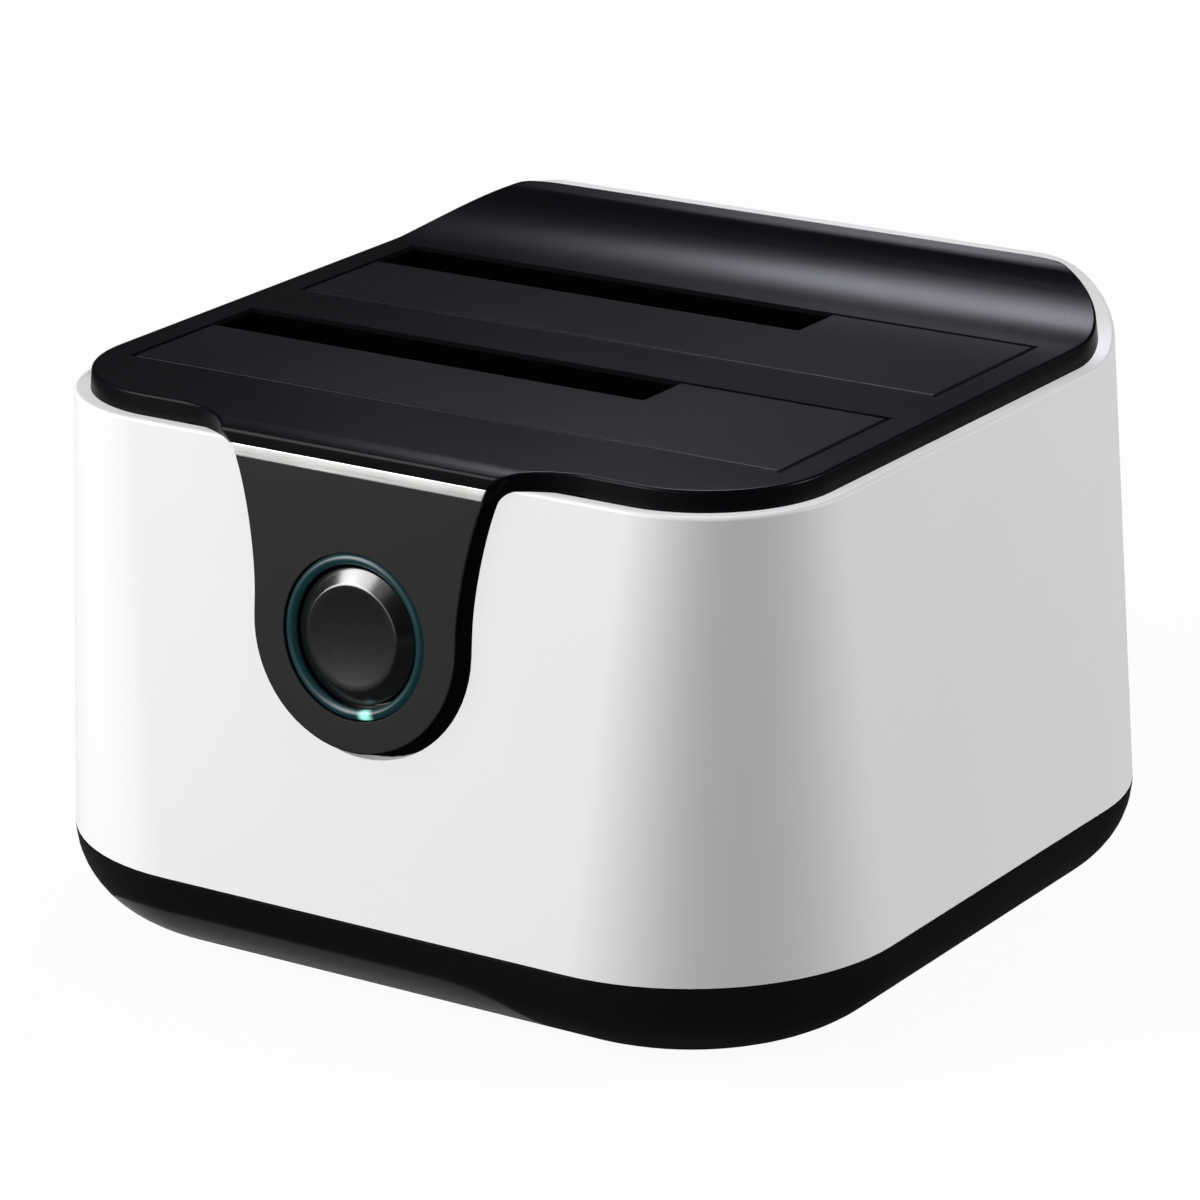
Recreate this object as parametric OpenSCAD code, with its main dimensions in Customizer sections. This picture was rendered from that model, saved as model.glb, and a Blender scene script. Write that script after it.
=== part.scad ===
// Dual-bay docking station for upright hard drives.
// Millimetres, +Z up, origin on the table under the middle of the object, front towards -Y.

/* [Drives] */
// Width of a large drive
drive_w = 101.6; // [98:0.1:106]
// Thickness of a large drive
drive_h = 26.1; // [24:0.1:28]
// Width of a small drive
small_w = 69.85; // [66:0.05:73]
// Thickness of the thickest small drive
small_h = 9.5; // [7:0.5:12]

/* [Bays] */
// Spare length of a bay opening around a large drive
bay_spare_l = 1.9; // [1:0.1:4]
// Spare depth of a bay opening around a large drive
bay_spare_w = 1.8; // [1.8:0.1:4]
// Spare length of a small drive's slot
slot_spare_l = 1.35; // [0.8:0.05:3]
// Spare width of a small drive's slot
slot_spare_w = 0.2; // [0.2:0.1:1.5]
// Deck between the two bay openings
bay_gap = 11; // [10:0.5:16]
// Free space between the rear well and the deck's rear skirt
rear_room = 17.9; // [17:0.1:26]

/* [Shell] */
// Corner radius of the shell at the seam
foot_r = 30.5; // [28:0.5:32]
// Corner radius of the shell at the lip
lip_r = 20; // [18:0.5:21]
// How far each side leans in between seam and lip
side_lean = 4.2; // [3:0.1:5]
// How far the front leans back between seam and lip
front_lean = 5.4; // [4:0.1:6]
// How far the back leans in between seam and lip
rear_lean = 7.4; // [6:0.1:8]
// Height of the shell from seam to lip
shell_h = 62.1; // [58:0.1:75]
// Wall of the shell
shell_wall = 2.2; // [1.8:0.1:2.6]
// Gap between mouldings that fit into one another
fit_gap = 0.15; // [0.1:0.05:0.25]

/* [Base] */
// Height of the base bowl
base_h = 13.5; // [12:0.5:18]
// How far the bowl draws in under the object
base_tuck = 15.5; // [13:0.5:18]
// Floor of the base bowl
base_floor = 2.2; // [1.8:0.1:3]
// Height of the rim that centres the shell on the base
rim_h = 2; // [1.5:0.1:3]
// Thickness of that rim
rim_t = 1.4; // [1.2:0.1:2]
// Diameter of a rubber foot
pad_d = 11; // [8:0.5:14]
// How far a rubber foot stands out of the base
pad_proud = 1.2; // [0.8:0.1:2]
// Depth of a rubber foot's recess
pad_seat = 0.9; // [0.6:0.1:1.2]
// Distance between the feet across the object
pad_span_x = 68; // [58:1:74]
// Distance between the feet front to back
pad_span_y = 62; // [52:1:68]

/* [Deck] */
// Height of the deck above the shell's lip
deck_rise = 2.7; // [2:0.1:4]
// Thickness of the deck
deck_t = 2; // [1.8:0.1:2.4]
// Thickness of the skirt inside the shell
skirt_t = 1.6; // [1.4:0.1:2]
// Depth of the skirt below the lip
skirt_h = 10; // [8:0.5:12]
// Radius of the sweep at the back of the deck
sweep_r = 28; // [26:0.5:34]
// Flat deck between the rear bay and the start of the sweep
sweep_gap = 1.6; // [1:0.1:3]
// Height of the swept crown above the lip
crown_rise = 9.3; // [8:0.1:10]

/* [Doors] */
// Thickness of a door flap
door_t = 1.8; // [1.6:0.1:2]
// Gap around a door flap
door_gap = 0.5; // [0.4:0.05:0.7]
// Diameter of a hinge pin
pin_d = 2; // [1.6:0.1:2.4]
// Running clearance of a knuckle on its pin
pin_fit = 0.05; // [0.03:0.01:0.09]
// Diameter of a hinge knuckle
knuckle_d = 4; // [3.8:0.1:4.6]
// Length of a hinge knuckle
knuckle_l = 8; // [6:0.5:10]
// Distance between the two knuckles of a door
knuckle_span = 72; // [66:1:74]
// Thickness of the lugs that hold a pin
lug_t = 3; // [2.5:0.1:3.5]
// Wire of a door spring
wire_d = 0.6; // [0.5:0.05:0.7]
// Turns of a door spring
turns = 5; // [4:1:6]
// Gap between the turns of a door spring
turn_gap = 0.45; // [0.42:0.01:0.6]

/* [Wells] */
// Wall of a drive well
well_wall = 1.2; // [1:0.1:1.5]
// Floor of a drive well
well_floor = 1.6; // [1.2:0.1:2.2]
// Gap between a well and the edge of its opening
well_gap = 0.3; // [0.2:0.05:0.5]
// Free space between a well and the deck's skirt at the sides
side_room = 1.7; // [0.8:0.1:3]
// Diameter of the bosses for the well screws
well_boss_d = 4.6; // [4.2:0.1:5]

/* [Front] */
// Radius of the round end of the front tongue
tongue_r = 16.2; // [15:0.1:17]
// How far the button's centre lies below the lip
button_drop = 21.7; // [20:0.1:24]
// How far the tongue stands out of the shell
tongue_proud = 3.6; // [3.2:0.1:4.4]
// Thickness of the face plate
panel_t = 1.6; // [1.2:0.1:1.8]
// Wall of the apron behind the face plate
apron_t = 1.6; // [1.2:0.1:2]
// Radius of the flare at the top of the tongue
flare_r = 25; // [20:1:30]
// Height of the flare
flare_h = 13; // [10:0.5:14]
// Radius of the shell's corners beside the tongue
brow_r = 3.2; // [2:0.1:4]
// Height of the bright strip across the tongue, level with the shell's lip
strip_h = 1.5; // [1:0.1:2]
// Outer diameter of the light ring
ring_d = 23; // [21:0.1:24]
// Width of the light ring
ring_t = 2; // [1.4:0.1:2.4]
// Width of the flange that holds the light ring
ring_flange = 1.8; // [1.4:0.1:2.2]
// Gap between the button and the light ring
button_gap = 1; // [0.5:0.1:1.4]
// How far the button stands out of the face plate
button_proud = 1.5; // [1:0.1:2.5]
// Bevel around the button
button_bevel = 1.6; // [1:0.1:2]
// Travel of the button
button_travel = 1.2; // [0.8:0.1:1.6]
// Rest gap between the button's flange and the light ring
flange_gap = 0.3; // [0.2:0.05:0.5]
// Thickness of the button's flange
flange_t = 1.7; // [1.4:0.1:2]

/* [Electronics] */
// Thickness of the circuit boards
board_t = 1.6; // [1.2:0.1:2]
// Underside of the main board above the seam
board_rise = 1.3; // [1:0.1:3]
// Width of the main board
board_w = 92; // [86:1:95]
// Distance from the main board to the rear wall
board_back = 4.7; // [4:0.1:6]
// Height of a drive connector
connector_h = 9; // [8:0.1:10]
// Length of a drive connector
connector_l = 46; // [44:0.5:48]
// Width of a drive connector
connector_w = 5.8; // [5.2:0.1:6.2]
// Place of a drive connector's middle from the edge of a small drive
connector_in = 27; // [26:0.5:32]
// Width of the data socket
usb_w = 12; // [11:0.1:12.6]
// Height of the data socket
usb_h = 12.8; // [10.5:0.1:13]
// Depth of the data socket
usb_depth = 17; // [14:0.5:18]
// Width of the power inlet
jack_w = 9.4; // [9:0.1:11]
// Bore of the power inlet
jack_bore = 6.4; // [5.8:0.1:6.6]
// Centre pin of the power inlet
jack_pin = 2; // [1.6:0.1:2.5]
// Distance between the middles of the two sockets
socket_span = 26; // [22:0.5:30]

/* [Screws] */
// Diameter of a case screw
case_screw_d = 2.9; // [2.5:0.1:3.2]
// Diameter of a case screw's boss
case_boss_d = 7; // [6:0.1:7.5]
// Diameter of a small screw
small_screw_d = 2; // [1.8:0.1:2.2]
// Clearance of a screw in its hole
screw_fit = 0.03; // [0.02:0.01:0.08]

/* [Hidden] */

slice = 0.01;
far = 200;
over = 1;
corner_fn = 48;
round_fn = 64;
sweep_fn = 128;

// Bay openings and the door hinges that fix the front margin
bay_l = drive_w + bay_spare_l;
bay_w = drive_h + bay_spare_w;
slot_l = small_w + slot_spare_l;
slot_w = small_h + slot_spare_w;
hinge_clear = 0.3;
play = 0.4;
lug_lap = 0.5;
boss_play = 0.7;
hinge_drop = deck_t + knuckle_d / 2 + hinge_clear;
hinge_back = hinge_drop - (bay_spare_w - hinge_clear);
lug_half = knuckle_d / 2 + lug_lap;
well_front = hinge_back + lug_half + play;
boss_room = well_boss_d + boss_play;

// Shell outline, built outwards from the bays
skirt_in = shell_wall + fit_gap + skirt_t;
foot_w = bay_l + 2 * (well_gap + well_wall + side_room + skirt_in + side_lean);
front_margin = well_front + well_wall + boss_room + skirt_in + front_lean;
rear_margin = well_gap + well_wall + rear_room + skirt_in + rear_lean;
foot_d = front_margin + 2 * bay_w + bay_gap + rear_margin;
front_bay_y = -foot_d / 2 + front_margin;
rear_bay_y = front_bay_y + bay_w + bay_gap;
bay_left = -bay_l / 2;
sweep_start = rear_bay_y + bay_w + sweep_gap;

// Heights
seam_z = pad_proud + base_h;
lip_z = seam_z + shell_h;
deck_z = lip_z + deck_rise;
crown_z = lip_z + crown_rise;
under_z = deck_z - deck_t;
hinge_z = deck_z - hinge_drop;
skirt_z = lip_z - skirt_h;
board_z = seam_z + board_rise;
board_top = board_z + board_t;
floor_z = pad_proud + base_floor;
connector_top = board_top + connector_h;
connector_lip = 0.6;
well_z = connector_top - well_floor - connector_lip;

// Screws
small_head_d = 3.8;
small_head_h = 1.2;
small_bite = 4;
case_head_d = 5.6;
case_head_h = 2;
case_bite = 6;
screw_seat = floor_z + 1.8;

// Front tongue, drawn on the leaning front face with the button's centre as its origin
button_z = lip_z - button_drop;
face_tilt = atan(front_lean / shell_h);
tongue_top = button_drop / cos(face_tilt);
visor_top = (deck_z - button_z) / cos(face_tilt) + deck_t;
strip_low = tongue_top - strip_h / 2;
strip_high = tongue_top + strip_h / 2;
plate_back = tongue_proud - panel_t;
apron_back = plate_back - apron_t;
ring_in = ring_d / 2 - ring_t;
ring_mid = ring_d / 2 - ring_t / 2;
button_r = ring_in - button_gap;
flange_top = apron_back - flange_gap;
flange_back = flange_top - flange_t;
flange_lap = 0.9;
flange_r = ring_in + flange_lap;
leg_r = 1;
leg_in = 0.1;
leg_gap = 0.2;
leg_angles = [-20, 20, 160, 200];
leg_ring = ring_d / 2 + ring_flange - leg_r - leg_in;
button_board_side = 1;
button_board_w = 2 * (tongue_r - apron_t - button_board_side);
button_board_h = 21;
post_in = 2.5;
post_d = 4.4;
post_x = button_board_w / 2 - post_in;
post_y = button_board_h / 2 - post_in;
switch_h = 3.8;
switch_gap = 1.6;
switch_w = 8.4;
plunger_w = 3;
plunger_in = 2;
board_face = flange_back - switch_gap - switch_h;
led_h = 1.1;

// Back wall
rear_tilt = atan(rear_lean / shell_h);
panel_recess = 0.5;
panel_lap = 1.4;
panel_flange = 1.2;
panel_seat = 0.05;
window_margin = 4.5;
window_low = seam_z + rim_h + hinge_clear;
window_top = board_top + usb_h + panel_lap;
window_w = socket_span + usb_w + 2 * window_margin;
window_mid = (window_low + window_top) / 2;
window_h = window_top - window_low;

// The object is centred between its furthest front and back points
button_face = tongue_proud + button_proud;
face_y = front_y(button_z);
front_reach = face_y - button_face * cos(face_tilt) - (button_r - button_bevel) * sin(face_tilt);
middle = -(front_reach + foot_d / 2) / 2;

// Colours
white = [0.93, 0.93, 0.92];
black = [0.06, 0.06, 0.065];
dark = [0.17, 0.17, 0.175];
steel = [0.72, 0.73, 0.75];
gold = [0.83, 0.68, 0.32];
board_green = [0.05, 0.28, 0.16];

// Share of the way from seam to lip
function climb(z) = (z - seam_z) / shell_h;
function half_w(z) = foot_w / 2 - side_lean * climb(z);
function front_y(z) = -foot_d / 2 + front_lean * climb(z);
function rear_y(z) = foot_d / 2 - rear_lean * climb(z);
function corner_r(z) = foot_r + (lip_r - foot_r) * climb(z);

// Rounded rectangle from y0 to y1
module rounded(half, y0, y1, r) {
    translate([-half + r, y0]) square([2 * (half - r), y1 - y0]);
    translate([-half, y0 + r]) square([2 * half, y1 - y0 - 2 * r]);
    for (x = [-1, 1], y = [y0 + r, y1 - r])
        translate([x * (half - r), y]) circle(r, $fn = corner_fn);
}

// Thin slice of the shell's outline at a height, drawn in by an inset
module slab(z, inset) {
    translate([0, 0, z]) linear_extrude(slice)
        rounded(half_w(z) - inset, front_y(z) + inset, rear_y(z) - inset, corner_r(z) - inset);
}

// Leaning block that follows the shell between two heights
module leaning(z0, z1, inset) {
    hull() {
        slab(z0, inset);
        slab(z1 - slice, inset);
    }
}

// Everything above a deck surface: flat in front, swept up at the back
module above(z) {
    translate([-far / 2, -far, z]) cube([far, far + sweep_start, sweep_r]);
    translate([-far / 2, sweep_start, z + sweep_r]) rotate([0, 90, 0])
        cylinder(r = sweep_r, h = far, $fn = sweep_fn);
}

// Bowl of the base, drawn in by an inset and resting on a floor height
module bowl(inset, floor_h) {
    steps = 8;
    top = seam_z - slice;
    depth = top - floor_h;
    hull() for (i = [0 : steps]) {
        tuck = inset + base_tuck * (1 - cos(90 * i / steps));
        translate([0, 0, top - depth * sin(90 * i / steps)]) linear_extrude(slice)
            rounded(foot_w / 2 - tuck, -foot_d / 2 + tuck, foot_d / 2 - tuck, foot_r - tuck);
    }
}

// Block with its corner given, centred across X
module block(w, y0, y1, z0, z1, x = 0) {
    translate([x - w / 2, y0, z0]) cube([w, y1 - y0, z1 - z0]);
}

// Round bar along X
module bar(d, length, y, z, x = 0) {
    translate([x - length / 2, y, z]) rotate([0, 90, 0]) cylinder(d = d, h = length, $fn = round_fn);
}

module post(d, h, fn = round_fn) {
    cylinder(d = d, h = h, $fn = fn);
}

module centred() {
    translate([0, middle, 0]) children();
}

// Local frame on the front face: X across, Y up the face, Z outwards
module on_face() {
    translate([0, face_y, button_z]) rotate([90 - face_tilt, 0, 0]) children();
}

// Local frame on the back wall: X across, Y up the wall, Z outwards
module on_back() {
    translate([0, rear_y(window_mid), window_mid]) rotate([90 - rear_tilt, 0, 180]) children();
}

// Outline of the tongue: round below, flared at the top
module tongue(grow, top) {
    r = tongue_r + grow;
    start = tongue_top - flare_h;
    wide = flare_r - sqrt(flare_r * flare_r - flare_h * flare_h);
    circle(r, $fn = round_fn);
    translate([-r, 0]) square([2 * r, top]);
    for (s = [0, 1]) mirror([s, 0]) difference() {
        translate([0, start]) square([r + wide, top - start]);
        translate([tongue_r + flare_r, start]) circle(flare_r - grow, $fn = sweep_fn);
    }
}

// Outline of the notch: the tongue with rounded shell corners beside its top
module notch(grow) {
    wide = flare_r - sqrt(flare_r * flare_r - flare_h * flare_h);
    edge = tongue_r + grow + wide;
    tongue(grow, tongue_top + over);
    for (s = [0, 1]) mirror([s, 0]) difference() {
        translate([edge - brow_r, tongue_top - brow_r]) square([2 * brow_r, brow_r + over]);
        translate([edge + brow_r, tongue_top - brow_r]) circle(brow_r, $fn = round_fn);
    }
}

// Screw pointing up from z, with its head below
module screw(d, length, head_d, head_h) {
    translate([0, 0, -head_h]) post(head_d, head_h);
    post(d, length);
}

// Places of the screws and posts
boss_in = 1.6;
boss_back = 4;
case_x = half_w(seam_z) - skirt_in - side_room - case_boss_d / 2 - boss_in;
case_y = foot_d / 2 - foot_r - boss_back;
board_rear = rear_y(board_z) - shell_wall - board_back;
board_in = 1;
hole_in = 5;
board_front = front_bay_y + board_in;
board_hole_x = board_w / 2 - hole_in;
board_hole_y = [board_front + hole_in, board_rear - hole_in - board_in];
ear_drop = 6.5;
ear_t = 2;
ear_w = 6;
front_ear_in = 21;
rear_ear_in = 12;
ear_z = under_z - ear_drop;
front_ear_y = front_bay_y - well_front - well_wall - boss_room / 2;
front_ear_x = bay_l / 2 - front_ear_in;
rear_ear_y = rear_bay_y + bay_w + well_gap + well_wall + boss_room / 2;
rear_ear_x = bay_l / 2 - rear_ear_in;

module case_places() {
    for (x = [-1, 1], y = [-1, 1]) translate([x * case_x, y * case_y, 0]) children();
}

module board_places() {
    for (x = [-1, 1], y = board_hole_y) translate([x * board_hole_x, y, 0]) children();
}

module pad_places() {
    for (x = [-1, 1], y = [-1, 1]) translate([x * pad_span_x / 2, y * pad_span_y / 2, 0]) children();
}

module base_tray() {
    head_room = case_head_d + 2 * play;
    board_post_d = 6;
    color(black) centred() difference() {
        union() {
            difference() {
                union() {
                    bowl(0, pad_proud);
                    leaning(seam_z - over, seam_z + rim_h, shell_wall + fit_gap);
                }
                bowl(shell_wall + fit_gap + rim_t, floor_z);
                leaning(seam_z - slice, seam_z + rim_h + over, shell_wall + fit_gap + rim_t);
            }
            intersection() {
                union() {
                    case_places() post(case_boss_d, seam_z);
                    board_places() post(board_post_d, board_z);
                }
                union() {
                    bowl(shell_wall / 2, floor_z - base_floor / 2);
                    block(foot_w - 2 * skirt_in, -foot_d / 2 + skirt_in, foot_d / 2 - skirt_in,
                        seam_z - over, board_z);
                }
            }
        }
        case_places() translate([0, 0, -over]) post(case_screw_d + play, seam_z + 2 * over);
        case_places() translate([0, 0, -over]) post(head_room, screw_seat + over);
        board_places() translate([0, 0, floor_z + over]) post(small_screw_d + 2 * screw_fit, board_z);
        pad_places() translate([0, 0, -over]) post(pad_d + 2 * fit_gap, pad_proud + pad_seat + over);
    }
}

module rubber_feet() {
    bevel = 0.5;
    color([0.1, 0.1, 0.1]) centred() pad_places() rotate_extrude($fn = round_fn)
        polygon([[0, 0], [pad_d / 2 - bevel, 0], [pad_d / 2, bevel], [pad_d / 2, pad_proud + pad_seat],
            [0, pad_proud + pad_seat]]);
}

module outer_shell() {
    boss_h = well_z - seam_z - 2 * play;
    rib_t = 2.4;
    cut = 5;
    color(white) centred() {
        difference() {
            leaning(seam_z, crown_z, 0);
            leaning(seam_z - over, crown_z + over, shell_wall);
            above(lip_z);
            on_face() translate([0, 0, -shell_wall - cut]) linear_extrude(shell_wall + 2 * cut)
                notch(fit_gap);
            on_back() translate([-window_w / 2, -window_h / 2, -shell_wall - over])
                cube([window_w, window_h, shell_wall + 2 * over]);
        }
        difference() {
            intersection() {
                union() {
                    case_places() translate([0, 0, seam_z]) post(case_boss_d, boss_h);
                    for (s = [-1, 1], y = [-1, 1])
                        translate([s > 0 ? case_x : -far, y * case_y - rib_t / 2, seam_z + rim_h + play])
                            cube([far - case_x, rib_t, boss_h - rim_h - play]);
                }
                leaning(seam_z - over, lip_z, shell_wall / 2);
            }
            case_places() translate([0, 0, seam_z - over])
                post(case_screw_d + 2 * screw_fit, boss_h - over);
        }
    }
}

module case_screws() {
    color(steel) centred() case_places() translate([0, 0, screw_seat])
        screw(case_screw_d, seam_z - screw_seat + case_bite, case_head_d, case_head_h);
}

// Lugs that hold one hinge pin under the deck
knuckle_side = 1;
lug_x = knuckle_span / 2 + knuckle_l / 2 + knuckle_side + lug_t / 2;

module hinge_lugs(bay_y) {
    y = bay_y - hinge_back;
    difference() {
        for (x = [-lug_x, 0, lug_x])
            block(lug_t, y - lug_half, y + lug_half, hinge_z - lug_half, under_z + deck_t / 2, x);
        bar(pin_d + 2 * screw_fit, 2 * lug_x + 2 * lug_t, y, hinge_z);
    }
}

module bay_opening(bay_y) {
    block(bay_l, bay_y, bay_y + bay_w, under_z - over, deck_z + over);
}

// Apron of the deck: it runs level over the shell's lip, folds down as the tongue and fills the notch
module apron() {
    reach = skirt_in;
    hole = ring_d / 2 + ring_flange + fit_gap;
    difference() {
        on_face() difference() {
            union() {
                difference() {
                    union() {
                        translate([0, 0, -reach]) linear_extrude(reach) intersection() {
                            notch(-fit_gap);
                            translate([-far / 2, tongue_top - far]) square(far);
                        }
                        translate([0, 0, -reach]) linear_extrude(reach + plate_back)
                            tongue(-fit_gap, visor_top);
                        translate([0, 0, plate_back - over]) linear_extrude(panel_t + over) difference() {
                            tongue(-fit_gap, visor_top);
                            translate([-far / 2, strip_high - far]) square(far);
                        }
                    }
                    translate([0, 0, -reach - over]) linear_extrude(reach + over + apron_back)
                        tongue(-fit_gap - apron_t, strip_low - apron_t);
                }
                for (x = [-1, 1]) translate([x * post_x, post_y, board_face])
                    post(post_d, apron_back - board_face + apron_t / 2);
            }
            translate([0, 0, apron_back - over]) cylinder(r = hole, h = apron_t + 2 * over, $fn = round_fn);
            for (x = [-1, 1]) translate([x * post_x, post_y, board_face - over])
                post(small_screw_d + 2 * screw_fit, small_bite + 2 * over);
        }
        above(deck_z);
    }
}

module top_deck() {
    outer = shell_wall + fit_gap;
    cut = skirt_in + 3;
    color(black) centred() difference() {
        union() {
            difference() {
                leaning(skirt_z, crown_z, outer);
                above(deck_z);
                difference() {
                    leaning(skirt_z - over, crown_z + over, skirt_in);
                    above(under_z);
                }
                for (y = [front_bay_y, rear_bay_y]) bay_opening(y);
                on_face() translate([0, 0, -cut]) linear_extrude(cut + apron_back)
                    tongue(-fit_gap - apron_t, strip_low - apron_t);
            }
            apron();
            for (y = [front_bay_y, rear_bay_y]) hinge_lugs(y);
            well_places() translate([0, 0, ear_z]) post(well_boss_d, under_z + deck_t / 2 - ear_z);
        }
        well_places() translate([0, 0, ear_z - over])
            post(small_screw_d + 2 * screw_fit, small_bite + 2 * over);
    }
}

module front_panel() {
    color(dark) centred() on_face() translate([0, 0, plate_back]) linear_extrude(panel_t) difference() {
        tongue(-fit_gap, strip_low);
        circle(ring_d / 2 + fit_gap, $fn = round_fn);
    }
}

module trim_strip() {
    color([0.85, 0.85, 0.84]) centred() on_face()
        translate([0, 0, plate_back]) linear_extrude(panel_t) intersection() {
            tongue(-fit_gap, strip_high);
            translate([-far / 2, strip_low]) square([far, strip_h]);
        }
}

module light_ring() {
    crown_steps = 8;
    crown = [for (i = [0 : crown_steps]) let(a = 180 * i / crown_steps)
        [ring_mid + ring_t / 2 * cos(a), tongue_proud - ring_t / 2 * (1 - sin(a))]];
    foot = board_face + led_h + leg_gap;
    color([0.12, 0.5, 0.5]) centred() on_face() {
        rotate_extrude($fn = round_fn) polygon(concat([[ring_in, apron_back],
            [ring_d / 2 + ring_flange, apron_back], [ring_d / 2 + ring_flange, plate_back],
            [ring_d / 2, plate_back]], crown));
        for (a = leg_angles) rotate(a) translate([leg_ring, 0, foot])
            cylinder(r = leg_r, h = apron_back - foot, $fn = round_fn);
    }
}

module power_button() {
    color([0.13, 0.13, 0.135]) centred() on_face() rotate_extrude($fn = round_fn)
        polygon([[0, flange_back], [flange_r, flange_back], [flange_r, flange_top],
            [button_r, flange_top], [button_r, button_face - button_bevel],
            [button_r - button_bevel, button_face], [0, button_face]]);
}

module switch_plunger() {
    color([0.9, 0.9, 0.88]) centred() on_face()
        translate([-plunger_w / 2, -plunger_w / 2, flange_back - switch_gap - plunger_in])
            cube([plunger_w, plunger_w, switch_gap + plunger_in]);
}

module power_switch() {
    slot = plunger_w + 2 * hinge_clear;
    well = plunger_in + button_travel + hinge_clear;
    color(black) centred() on_face() difference() {
        translate([-switch_w / 2, -switch_w / 2, board_face]) cube([switch_w, switch_w, switch_h]);
        translate([-slot / 2, -slot / 2, board_face + switch_h - well]) cube([slot, slot, well + over]);
    }
}

module button_board() {
    color(board_green) centred() on_face() difference() {
        translate([-button_board_w / 2, -button_board_h / 2, board_face - board_t])
            cube([button_board_w, button_board_h, board_t]);
        for (x = [-1, 1]) translate([x * post_x, post_y, board_face - board_t - over])
            post(small_screw_d + play, board_t + 2 * over);
    }
}

module status_leds() {
    led_w = 1.6;
    color([0.9, 0.95, 0.9]) centred() on_face() for (a = leg_angles) rotate(a)
        translate([leg_ring - led_w / 2, -led_w / 2, board_face]) cube([led_w, led_w, led_h]);
}

module button_board_screws() {
    color(steel) centred() on_face() for (x = [-1, 1])
        translate([x * post_x, post_y, board_face - board_t])
            screw(small_screw_d, board_t + small_bite, small_head_d, small_head_h);
}

// Flat lead from the button board down to the front of the main board
socket_w = 11;
socket_t = 2.2;
socket_y = 4.4;
socket_in = 1;
socket_lid = 1.2;
ribbon_w = 8;
ribbon_t = 0.6;
ribbon_in = board_face - board_t - socket_t / 2;
ribbon_low = board_top + 2 * socket_lid;
main_socket_y = board_front + socket_in;

// Points of the front face's frame, seen from the side
function face_point(up, out) = [face_y + up * sin(face_tilt) - out * cos(face_tilt),
    button_z + up * cos(face_tilt) + out * sin(face_tilt)];
function face_at(z, out) = face_point((z - button_z - out * sin(face_tilt)) / cos(face_tilt), out);

module button_ribbon() {
    front = ribbon_in + ribbon_t / 2;
    back = ribbon_in - ribbon_t / 2;
    low = ribbon_low - ribbon_t / 2;
    high = ribbon_low + ribbon_t / 2;
    top = socket_in - button_board_h / 2;
    color([0.75, 0.75, 0.72]) centred() translate([-ribbon_w / 2, 0, 0]) rotate([90, 0, 90])
        linear_extrude(ribbon_w) polygon([face_point(top, front), face_at(low, front),
            [main_socket_y, low], [main_socket_y, high], face_at(high, back), face_point(top, back)]);
}

module ribbon_sockets() {
    color([0.92, 0.9, 0.84]) centred() {
        on_face() translate([-socket_w / 2, -button_board_h / 2 + socket_in, board_face - board_t - socket_t])
            cube([socket_w, socket_y, socket_t]);
        block(socket_w, main_socket_y, main_socket_y + socket_y, board_top, ribbon_low + socket_lid);
    }
}

// Where the well screws go up into the deck
module well_places() {
    for (x = [-1, 1]) {
        translate([x * front_ear_x, front_ear_y, 0]) children();
        translate([x * rear_ear_x, rear_ear_y, 0]) children();
    }
}

connector_x = bay_left + slot_spare_l / 2 + connector_in;

function connector_y(bay_y) = bay_y + bay_w - slot_w / 2;

// One well: a sleeve with a wider throat for the door's hinge, and a floor round the connector
module well(bay_y, ear_x, ear_y) {
    inner_l = bay_l + 2 * well_gap;
    outer_l = inner_l + 2 * well_wall;
    throat = 2 * (lug_x + lug_t / 2 + 2 * hinge_clear);
    back = bay_y + bay_w + well_gap;
    front = bay_y - well_gap - hinge_clear;
    neck = bay_y - well_front;
    side = ear_y > bay_y ? back : ear_y - boss_room / 2;
    depth = ear_y > bay_y ? ear_y + boss_room / 2 - back : neck - side;
    difference() {
        union() {
            block(outer_l, front - well_wall, back + well_wall, well_z, under_z);
            block(throat + 2 * well_wall, neck - well_wall, bay_y, well_z, under_z);
            for (x = [-1, 1]) block(ear_w, side, side + depth, ear_z - ear_t, ear_z, x * ear_x);
        }
        block(inner_l, front, back, well_z + well_floor, under_z + over);
        block(throat, neck, bay_y, well_z + well_floor, under_z + over);
        block(connector_l + 2 * well_gap, connector_y(bay_y) - connector_w / 2 - well_gap,
            connector_y(bay_y) + connector_w / 2 + well_gap, well_z - over, connector_top, connector_x);
        for (x = [-1, 1]) translate([x * ear_x, ear_y, ear_z - ear_t - over])
            post(small_screw_d + play, ear_t + 2 * over);
    }
}

module front_bay_well() {
    color(black) centred() well(front_bay_y, front_ear_x, front_ear_y);
}

module rear_bay_well() {
    color(black) centred() well(rear_bay_y, rear_ear_x, rear_ear_y);
}

module well_screws() {
    color(steel) centred() well_places() translate([0, 0, ear_z - ear_t])
        screw(small_screw_d, ear_t + small_bite, small_head_d, small_head_h);
}

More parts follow.
